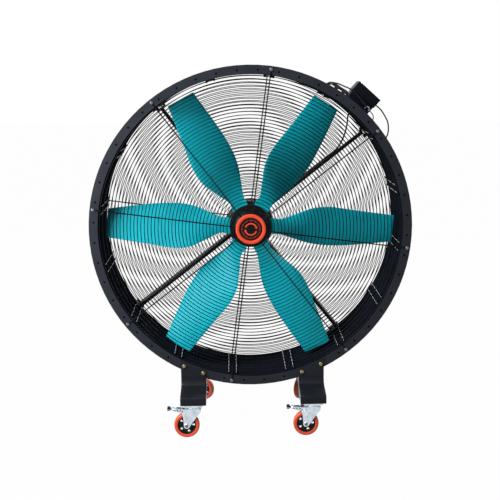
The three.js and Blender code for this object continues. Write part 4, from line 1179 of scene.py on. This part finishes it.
LEG_CENTRE = 298.0
LEG_WIDTH = 128.0
LEG_SHEET = 4.0
FOOT_REACH = 348.0
FOOT_BASE = 176.0
FOOT_FACE = 40.0
KNEE = 236.0
KNEE_RADIUS = 32.0
NOSE_RADIUS = 7.0
PLATE_FRONT = -DRUM_HALF - SEAT - LEG_SHEET
LEG_TOP_RADIUS = BORE_RADIUS + 5
ARCH_HALF = 215.0
ARCH_RISE = 60.0
LEG_BOLT_SPACING = 96.0
LEG_BOLT_CIRCLE = FLANGE_RADIUS - 23
# Where the skin's top edge is drawn first, before it is set along the flange.
SKIN_TOP = 300.0


def leg_line(inset, top):
    """Side view of the bent front plate, from its top down to the foot, as Y and Z."""
    plate, nose = PLATE_FRONT + inset, -FOOT_REACH + inset
    shelf, knee = FOOT_BASE + FOOT_FACE - inset, KNEE - inset
    slope = (knee - shelf) / (plate - nose)

    def bend(a, b, c, count):
        for i in range(count + 1):
            t = i / count
            yield tuple((1 - t) ** 2 * a[k] + 2 * t * (1 - t) * b[k] + t * t * c[k] for k in (0, 1))

    below_knee = (plate - KNEE_RADIUS, knee - slope * KNEE_RADIUS)
    before_nose = (nose + NOSE_RADIUS, shelf + slope * NOSE_RADIUS)
    line = [(plate, top)]
    line += bend((plate, knee + KNEE_RADIUS), (plate, knee), below_knee, 10)
    line += bend(before_nose, (nose, shelf), (nose, shelf - NOSE_RADIUS), 6)
    return line + [(nose, FOOT_BASE)]


def drum_edge(x, radius):
    """The height of a circle round the fan's axis, below it."""
    return AXIS_HEIGHT - math.sqrt(radius**2 - x**2)


def leg_skin(x0, x1):
    """Front plate, bent forward into the foot; its top edge follows the flange."""
    columns = 10
    section = leg_line(0, SKIN_TOP) + leg_line(LEG_SHEET, SKIN_TOP)[::-1]
    skin = drawn_out([(x0, y, z) for y, z in section], (x1 - x0) / columns, columns)
    for vert in skin.verts:
        if abs(vert.co.z - SKIN_TOP) < 0.01:
            vert.co.z = drum_edge(vert.co.x, LEG_TOP_RADIUS)
    return soften(skin, 0.7, 2, 50)


def leg(side):
    """Bridge leg: a front and a rear skin, two cheeks cut to an arch between the feet, and foot plates."""
    x0, x1 = side * LEG_CENTRE - LEG_WIDTH / 2, side * LEG_CENTRE + LEG_WIDTH / 2
    whole = bmesh.new()
    put(whole, leg_skin(x0, x1))
    put(whole, mirrored(leg_skin(x0, x1), "Y"))
    for x in (x0, x1 - LEG_SHEET):
        top = drum_edge(x + LEG_SHEET / 2, FLANGE_RADIUS + 1.5)
        front = [p for p in leg_line(1.0, top) if p[1] < top - 1]
        angles = [math.pi * (1 - i / 24) for i in range(25)]
        arch = [(ARCH_HALF * math.cos(a), FOOT_BASE + ARCH_RISE * math.sin(a)) for a in angles]
        outline = [(PLATE_FRONT + 1, top)] + front + arch + [(-y, z) for y, z in reversed(front)]
        outline += [(-PLATE_FRONT - 1, top)]
        cheek = soften(sheet_metal(outline, LEG_SHEET), 0.6, 1, 50)
        put(whole, cheek, X_AND_Y_SWAPPED, shift(x, 0, 0))
    for end in (-1, 1):
        centre = (side * LEG_CENTRE, end * (FOOT_REACH - 51), FOOT_BASE + LEG_SHEET / 2)
        put(whole, block((LEG_WIDTH - 2, 100, LEG_SHEET), centre, 0.6, 1))
        y, z = end * (FOOT_REACH - 5), FOOT_BASE + LEG_SHEET + 0.5
        put(whole, rod((x0 + 1, y, z), (x1 - 1, y, z), 1.6))
    name = "left" if side < 0 else "right"
    finish(f"{name}_bridge_leg", whole, leg_coat, "black_coat", "chassis", f"{name}_leg")


leg(-1)
leg(1)


def leg_bolts():
    """Bolts with their nuts, through each leg's plates and the drum's flanges."""
    spots = [side * LEG_CENTRE + step * LEG_BOLT_SPACING for side in (-1, 1) for step in (-0.5, 0.5)]
    nut = [(0, -8.5), (10, -8.5), (10, -14.5), (0, -14.5)]
    for i, x in enumerate(spots, 1):
        for end in ("front", "rear"):
            bolt = hex_bolt(9.8, 7.0, 9.4)
            put(bolt, rod((0, 1, 0), (0, -13, 0), 5.9, 20))
            put(bolt, soften(turned(nut, 6, closed=False), 0.6, 1))
            move(bolt, shift(0, DRUM_HALF + LEG_SHEET + 2 * SEAT, 0))
            if end == "front":
                mirrored(bolt, "Y")
            move(bolt, shift(x, 0, drum_edge(x, LEG_BOLT_CIRCLE)))
            finish(f"{end}_bolt_{i}", bolt, yellow_zinc, "yellow_zinc", "chassis", f"{end}_leg_bolt_{i}")


leg_bolts()

# ------------------------------------------------------------------ casters

WHEEL_RADIUS = 63.5
WHEEL_HALF = 16.0
TRAIL = 35.0
FORK_HALF = 23.0
FORK_SHEET = 3.5
FORK_TOP = 152.5
CROWN_TOP = 158.0
PLATE_TOP = FOOT_BASE - SEAT
PLATE_SHEET = 5.0
PLATE_BOLT_AT = 38.0
AXLE_RADIUS = 5.0
WINDOWS = 5
PEDAL_HALF = 17.0
PEDAL_PIN = (-56.0, 138.0)
CASTER_REACH = 300.0
REAR_LEFT_HEADING = 153.0
REAR_RIGHT_HEADING = 57.0


def caster_plate():
    """Bolt-on top plate with its swivel cup, ball race shield and four bolts."""
    plate = bmesh.new()
    put(plate, block((96, 96, PLATE_SHEET), (0, 0, PLATE_TOP - PLATE_SHEET / 2), 0.9))
    cup = [
        (31, CROWN_TOP + SEAT), (36, CROWN_TOP + SEAT), (38, CROWN_TOP + 2), (38, PLATE_TOP - 9),
        (36.5, PLATE_TOP - 6), (36.5, PLATE_TOP - 4.5), (31, PLATE_TOP - 4.5),
    ]
    put(plate, turned(cup, 56), Y_TO_Z)
    for x in (-PLATE_BOLT_AT, PLATE_BOLT_AT):
        for y in (-PLATE_BOLT_AT, PLATE_BOLT_AT):
            bolt = mirrored(move(hex_bolt(6.2, 6.5, 7.5), Y_TO_Z), "Z")
            put(plate, bolt, shift(x, y, PLATE_TOP - PLATE_SHEET))
    return plate


def fork():
    """Pressed fork: crown, bridge and two cheeks with a stiffening flute and the axle's eye."""
    angles = [math.radians(15 * i - 170) for i in range(11)]
    outline = [(15 * math.cos(a) - TRAIL, 15 * math.sin(a) + WHEEL_RADIUS) for a in angles] + [
        (14, 107), (36, 136), (38, 143), (38, FORK_TOP), (-62, FORK_TOP), (-62, 143), (-58, 128), (-53, 112),
    ]
    whole = bmesh.new()
    for start in (-FORK_HALF, FORK_HALF - FORK_SHEET):
        put(whole, soften(sheet_metal(outline, FORK_SHEET, start), 0.7, 2, 50))
        out = 1 if start > 0 else -1
        flute = [(-36, 84), (-26, 84), (4, 117), (14, 134), (-46, 134), (-48, 118)]
        face = FORK_HALF - 0.4 if out > 0 else -FORK_HALF - 1.0
        put(whole, soften(sheet_metal(flute, 1.4, face), 1.2, 3, 50))
        collar = [(5.5, 0), (12, 0), (12, 0.8), (11, 1.6), (5.5, 1.6)]
        ring = turned([(r, out * (FORK_HALF - 0.3 + y)) for r, y in collar], 28)
        put(whole, ring, shift(-TRAIL, 0, WHEEL_RADIUS))
    put(whole, block((99.6, 2 * FORK_HALF, FORK_SHEET), (-12, 0, FORK_TOP - FORK_SHEET / 2), 1.0))
    crown = [
        (0, FORK_TOP - 2), (35, FORK_TOP - 2), (37, FORK_TOP - 0.5), (38, FORK_TOP + 1.5),
        (38, CROWN_TOP - 1.5), (36.5, CROWN_TOP), (12, CROWN_TOP), (12, CROWN_TOP + 8), (11, CROWN_TOP + 9),
        (0, CROWN_TOP + 9),
    ]
    return put(whole, turned(crown, 56, closed=False), Y_TO_Z)


def axle():
    """Hexagon bolt and lock nut through the fork."""
    end = FORK_HALF + SEAT
    whole = rod((0, -end, 0), (0, end, 0), AXLE_RADIUS, 20)
    put(whole, hex_bolt(8.4, 5.6, 8.6), HALF_TURN, shift(0, -end - 1.4, 0))
    put(whole, hex_bolt(8.2, 6.6, 8.6), shift(0, end + 1.4, 0))
    return put(whole, rod((0, end, 0), (0, end + 9.6, 0), 4.2, 20))


def wheel_core():
    """Nylon centre with five windows, a raised hub and a rim bead."""
    half, thickness = 180 / WINDOWS, 16

    def arc(radius, start, stop):
        return [polar(radius, start + (stop - start) * i / 6) for i in range(7)]

    rim = arc(44, -half, half) + arc(14, half, -half)
    window = arc(39.6, -12, 12) + arc(26.4, 9.5, -9.5)
    web = repeat(plate_sector(rim, window, thickness, half), WINDOWS, 360 / WINDOWS)
    bmesh.ops.remove_doubles(web, verts=web.verts, dist=0.01)
    whole = bmesh.new()
    put(whole, soften(move(web, shift(0, -thickness / 2, 0)), 0.8, 2, 50))
    bead = [
        (40.4, -11), (41.4, -11.8), (45.4, -11.8), (46, -11), (46, 11), (45.4, 11.8), (41.4, 11.8),
        (40.4, 11),
    ]
    put(whole, turned(bead, 72))
    bore = AXLE_RADIUS + SEAT
    hub = [(bore, -18.5), (12, -18.5), (14.4, -17), (15, -12), (15, 12), (14.4, 17), (12, 18.5), (bore, 18.5)]
    return put(whole, turned(hub, 48))


def tyre():
    """Polyurethane tread with rounded shoulders, a crowned face and a mould line."""
    half, r = WHEEL_HALF, WHEEL_RADIUS
    section = [
        (46.4, 2 - half), (50, 0.6 - half), (r - 7, 0.2 - half), (r - 4.2, 0.9 - half), (r - 1.9, 2.6 - half),
        (r - 0.6, 5.2 - half), (r - 0.12, 9 - half), (r, -1.2), (r + 0.18, -0.4),
    ]
    section += [(radius, -y) for radius, y in reversed(section)]
    return turned(section, 96)


def pedal():
    """Foot lever of bent sheet with turned-up sides, a grip pad and its cross pin."""
    line = [(-49, 138), (-62, 134), (-80, 140), (-106, 148), (-118, 148), (-131, 150)]
    under = [(x, z - 2.4) for x, z in reversed(line)]
    cheek = [
        (-49, 131), (-62, 129), (-80, 134), (-106, 143), (-112, 146), (-108, 152.6), (-66, 149.6),
        (-60, 145.6), (-49, 145.6),
    ]
    whole = soften(sheet_metal(line + under, 2 * PEDAL_HALF, -PEDAL_HALF), 0.8, 2, 40)
    for start in (-PEDAL_HALF, PEDAL_HALF - 2.4):
        put(whole, soften(sheet_metal(cheek, 2.4, start), 0.6, 1, 50))
    x, z = PEDAL_PIN
    put(whole, rod((x, -FORK_HALF, z), (x, FORK_HALF, z), 3.5, 20))
    return put(whole, rod((x, -FORK_HALF + 2, z), (x, -FORK_HALF + 4, z), 5.4, 20))


def painted_hole_shade():
    """Shallow dark rounds of painted shade that stand for the holes in the lever's near side."""
    hole_shade_spots = bmesh.new()
    for x, z in ((-66, 142.5), (-80, 144.18), (-94, 145.86)):
        spot = turned([(0, 0), (3.4, 0), (3.4, 0.5), (0, 0.5)], 20, closed=False)
        put(hole_shade_spots, spot, shift(x, -PEDAL_HALF - 0.4, z))
    return hole_shade_spots


def pedal_pad():
    """Ribbed grip on the lever's end."""
    pad = block((16, 32, 15), (-123.5, 0, 148.5), 3.6, 3)
    for i in range(4):
        put(pad, block((1.6, 26, 1.2), (-129 + 3.6 * i, 0, 156.2), 0.4, 1))
    return pad


def caster(name, x, y, heading, braked):
    """One caster. Its wheel trails towards -X at heading 0."""
    turn = Matrix.Rotation(math.radians(heading), 4, "Z")
    on_swivel = shift(x, y, 0) @ turn
    on_wheel = on_swivel @ shift(-TRAIL, 0, WHEEL_RADIUS)
    parts = [
        ("plate", caster_plate(), shift(x, y, 0), bright_zinc, "zinc_plate", "chassis", "caster_plate"),
        ("yoke", fork(), on_swivel, bright_zinc, "zinc_plate", f"{name}_swivel", "fork"),
        ("spindle", axle(), on_wheel, bolt_black, "zinc_plate", f"{name}_wheel", "axle"),
        ("centre", wheel_core(), on_wheel, black_nylon, "black_plastic", f"{name}_wheel", "wheel_core"),
        ("tyre", tyre(), on_wheel, orange_urethane, "urethane", f"{name}_wheel", "tread"),
    ]
    if braked:
        body = f"{name}_pedal"
        parts += [
            ("lever", pedal(), on_swivel, bright_zinc, "zinc_plate", body, "brake_pedal"),
            # Painted shade: dark rounds in place of the lever's holes.
            ("lever_painted_hole_shade", painted_hole_shade(), on_swivel, black_nylon, "black_plastic", body, None),
            ("lever_pad", pedal_pad(), on_swivel, black_nylon, "black_plastic", body, None),
        ]
    for label, shape, place, look, slot, body, node in parts:
        stands_for = [f"{name}_{node}"] if node else []
        finish(f"{name}_{label}", move(shape, place), look, slot, body, *stands_for)


caster("front_left", -LEG_CENTRE, -CASTER_REACH, 0, True)
caster("front_right", LEG_CENTRE, -CASTER_REACH, 0, True)
caster("rear_left", -LEG_CENTRE, CASTER_REACH, REAR_LEFT_HEADING, False)
caster("rear_right", LEG_CENTRE, CASTER_REACH, REAR_RIGHT_HEADING, False)

# ------------------------------------------------------------------ control box

IN_BOX = ON_AXIS @ about_axis(BOX_ANGLE)
BOX_MIDDLE = (BOX_FRONT + BOX_BACK) / 2
BOX_DEPTH = BOX_BACK - BOX_FRONT
KNOB_AT = (815.0, 10.0)
FIRST_MARK = 225.0
MARKS = 11
MARK_STEP = 27.0


def entry_collar(radius):
    """Low rubber ring where a cable goes into the box's side, facing down the rim."""
    ring = [
        (0, -0.6), (radius + 1.2, -0.6), (radius + 1.2, 0.3), (radius + 0.5, 1.2), (radius - 1, 1.2),
        (0, 0.4),
    ]
    return move(turned(ring, 28, closed=False), Y_TO_MINUS_Z)


def box_base():
    """Lower half of the box, with its gland's hexagon, threaded neck and bright ring."""
    height = BOX_SPLIT - SEAT - BOX_BOTTOM
    base = block((height, BOX_DEPTH, BOX_LENGTH), (BOX_BOTTOM + height / 2, BOX_MIDDLE, 0), 2.2, 3)
    u, v = GLAND_AT
    neck = [
        (0, 0), (11, 0), (11, 2), (10, 2.6), (10, 8), (9.4, 9), (9.4, 10), (9.8, 10.6), (8.8, 11.4),
        (9.6, 12.2), (8.6, 13), (9.2, 13.8), (8.2, 16), (7.2, GLAND_LENGTH), (3.7, GLAND_LENGTH), (3.7, 6),
        (0, 6),
    ]
    gland = turned(neck, 36, closed=False)
    put(gland, soften(turned([(0, 0.2), (14, 0.2), (14, 8), (0, 8)], 6, closed=False), 0.7, 2))
    mirrored(gland, "Y")
    put(base, gland, shift(u, BOX_FRONT, v))
    put(base, entry_collar(4.6), shift(BOX_SPLIT - 20, EARTH_Y, BOX_SIDE))
    finish("box_base", move(base, IN_BOX), box_enamel, "slate_enamel", "chassis", "control_box_base")
    ring = turned([(9.8, -8.1), (9.8, -9.6), (10.6, -10.2), (12.4, -9.4), (12.8, -8.1)], 40)
    move(ring, IN_BOX @ shift(u, BOX_FRONT, v))
    finish("gland_ring", ring, bright_zinc, "zinc_plate", "chassis")


def box_lid():
    """Folded lid with its overhang and four screws."""
    size = (BOX_TOP - BOX_SPLIT, BOX_DEPTH + 2 * LID_OVERHANG, BOX_LENGTH + 2 * LID_OVERHANG)
    lid = block(size, ((BOX_TOP + BOX_SPLIT) / 2, BOX_MIDDLE, 0), 2.6, 3)
    put(lid, entry_collar(5.8), shift(BOX_SPLIT + 24, LINK_Y, BOX_SIDE - LID_OVERHANG))
    finish("box_lid", move(lid, IN_BOX), box_enamel, "slate_enamel", "chassis", "control_box_lid")
    screws = bmesh.new()
    for y in (BOX_FRONT + 9, BOX_BACK - 9):
        for v in (10 - BOX_LENGTH / 2, BOX_LENGTH / 2 - 10):
            head = [(0, 0), (4.6, 0), (4.6, 0.9), (3.2, 2.1), (1.4, 2.5), (1.2, 1.4), (0, 1.4)]
            put(screws, turned(head, 24, closed=False), Y_TO_X, shift(BOX_TOP - 0.1, y, v))
    finish("lid_screws", move(screws, IN_BOX), bright_zinc, "zinc_plate", "chassis")


def box_bracket():
    """Bent strap that carries the box, with its feet rolled to the drum and bolted down."""
    top, low, sheet, reach = BOX_BOTTOM - SEAT, SHELL_RADIUS + SEAT, 3.0, BOX_LENGTH / 2

    def side(sign):
        def foot(r, a, b):
            steps = [a + (b - a) * i / 5 for i in range(6)]
            return [(math.sqrt(r * r - v * v), sign * v) for v in steps]

        sole, upper = foot(low, reach - sheet, reach + 20), foot(low + sheet, reach + 20, reach)
        return sole + upper + [(top, sign * reach)]

    inner = reach - sheet
    outline = side(1) + side(-1)[::-1] + [(top - sheet, -inner), (top - sheet, inner)]
    bracket = soften(sheet_metal(outline, 80, BOX_MIDDLE - 40), 0.8, 2, 50)
    for sign in (-1, 1):
        turn = about_axis(math.degrees((reach + 11) / low) * sign)
        for y in (-24, 24):
            put(bracket, hex_bolt(5.6, 5.4, 7.4), Y_TO_X, shift(low + sheet - 0.2, BOX_MIDDLE + y, 0), turn)
    finish("box_bracket", move(bracket, IN_BOX), mount_coat, "black_coat", "chassis", "control_box_bracket")


def speed_control():
    """Fluted knob with a pointer on the box's back, and its dial of ticks."""
    u, v = KNOB_AT
    back = BOX_BACK + SEAT
    fluted = []
    for i in range(72):
        p = polar(17 if i % 3 else 15.8, 5 * i)
        fluted.append((p.x, p.z))
    knob = soften(sheet_metal(fluted, 12.6, back), 0.3, 1, 70)
    crown = [(0, 12), (15.2, 12), (15, 13.6), (13.4, 15), (0, 15)]
    put(knob, turned(crown, 48, closed=False), shift(0, back, 0))
    put(knob, rod((0, BOX_BACK - 8, 0), (0, back + 2, 0), 4, 20))
    put(knob, block((10, 0.6, 2.0), (9, back + 15.0, 0), 0.2, 1), about_axis(FIRST_MARK))
    place = IN_BOX @ shift(u, 0, v)
    finish("fluted_knob", move(knob, place), knob_plastic, "black_plastic", "knob", "speed_knob")
    dial = bmesh.new()
    for i in range(MARKS):
        tick = block((4.5, 0.3, 1.2), (22.5, BOX_BACK + 0.1, 0), 0.1, 1)
        put(dial, tick, about_axis(FIRST_MARK - MARK_STEP * i))
    finish("dial_ticks", move(dial, place), bright_zinc, "zinc_plate", "chassis")


box_base()
box_lid()
box_bracket()
speed_control()

# The drive unit inside the box keeps its CAD solid.
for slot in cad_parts["drive_unit"].material_slots:
    slot.material = black_nylon

# ------------------------------------------------------------------ floor, light and backdrop

FLOOR_WHITE = 0.985
WORLD_LIGHT = 0.12
AIM = (0, 0, 1.0)


def seen_directly(tree):
    """1 for what the camera sees, straight or in a reflection, and 0 for what only lights the object."""
    rays = add(tree, "ShaderNodeLightPath").outputs
    seen = rays["Is Camera Ray"]
    for kind in ("Is Glossy Ray", "Is Transmission Ray"):
        seen = add(tree, "ShaderNodeMath", {0: seen, 1: rays[kind]}, operation="MAXIMUM").outputs[0]
    return seen


def floor():
    """Plain pale floor: white to the eye and in reflections, with the object's shadow on it."""
    shape = bmesh.new()
    bmesh.ops.create_grid(shape, x_segments=1, y_segments=1, size=30)
    data = bpy.data.meshes.new("floor")
    shape.to_mesh(data)
    shape.free()
    made, tree, _ = material("studio_floor")
    grey = add(tree, "ShaderNodeBsdfPrincipled", {"Base Color": colour("#7a7a7a"), "Roughness": 0.9})
    white = add(tree, "ShaderNodeEmission", {"Color": (1, 1, 1, 1), "Strength": 1.0})
    share = add(tree, "ShaderNodeMath", {0: seen_directly(tree), 1: FLOOR_WHITE}, operation="MULTIPLY")
    mix = add(tree, "ShaderNodeMixShader", {0: share.outputs[0], 1: grey.outputs[0], 2: white.outputs[0]})
    add(tree, "ShaderNodeOutputMaterial", {"Surface": mix.outputs[0]})
    data.materials.append(made)
    obj = bpy.data.objects.new("floor", data)
    scene.collection.objects.link(obj)


def lamp(name, place, aim, size, power):
    """A square soft lamp that faces a point."""
    data = bpy.data.lights.new(name, "AREA")
    data.shape = "SQUARE"
    data.size = size
    data.energy = power
    obj = bpy.data.objects.new(name, data)
    scene.collection.objects.link(obj)
    away = Vector(place) - Vector(aim)
    obj.matrix_world = Matrix.Translation(place) @ away.to_track_quat("Z", "Y").to_matrix().to_4x4()


def backdrop():
    """White behind the object; a dimmer, even grey as light."""
    world = bpy.data.worlds.new("studio")
    scene.world = world
    world.use_nodes = True
    tree = world.node_tree
    tree.nodes.clear()
    lit = add(tree, "ShaderNodeBackground", {"Color": (1, 1, 1, 1), "Strength": WORLD_LIGHT})
    white = add(tree, "ShaderNodeBackground", {"Color": (1, 1, 1, 1), "Strength": 1.0})
    mix = add(tree, "ShaderNodeMixShader", {0: seen_directly(tree), 1: lit.outputs[0], 2: white.outputs[0]})
    add(tree, "ShaderNodeOutputWorld", {"Surface": mix.outputs[0]})


floor()
backdrop()
lamp("key_lamp", (-2.3, -1.8, 3.7), AIM, 1.8, 275)
lamp("side_lamp", (-2.1, -1.9, 1.5), AIM, 1.2, 85)
lamp("top_lamp", (0.4, 1.8, 4.2), AIM, 2.4, 45)
lamp("back_lamp", (2.6, 4.4, 2.4), AIM, 2.4, 110)

scene.view_settings.view_transform = "Standard"
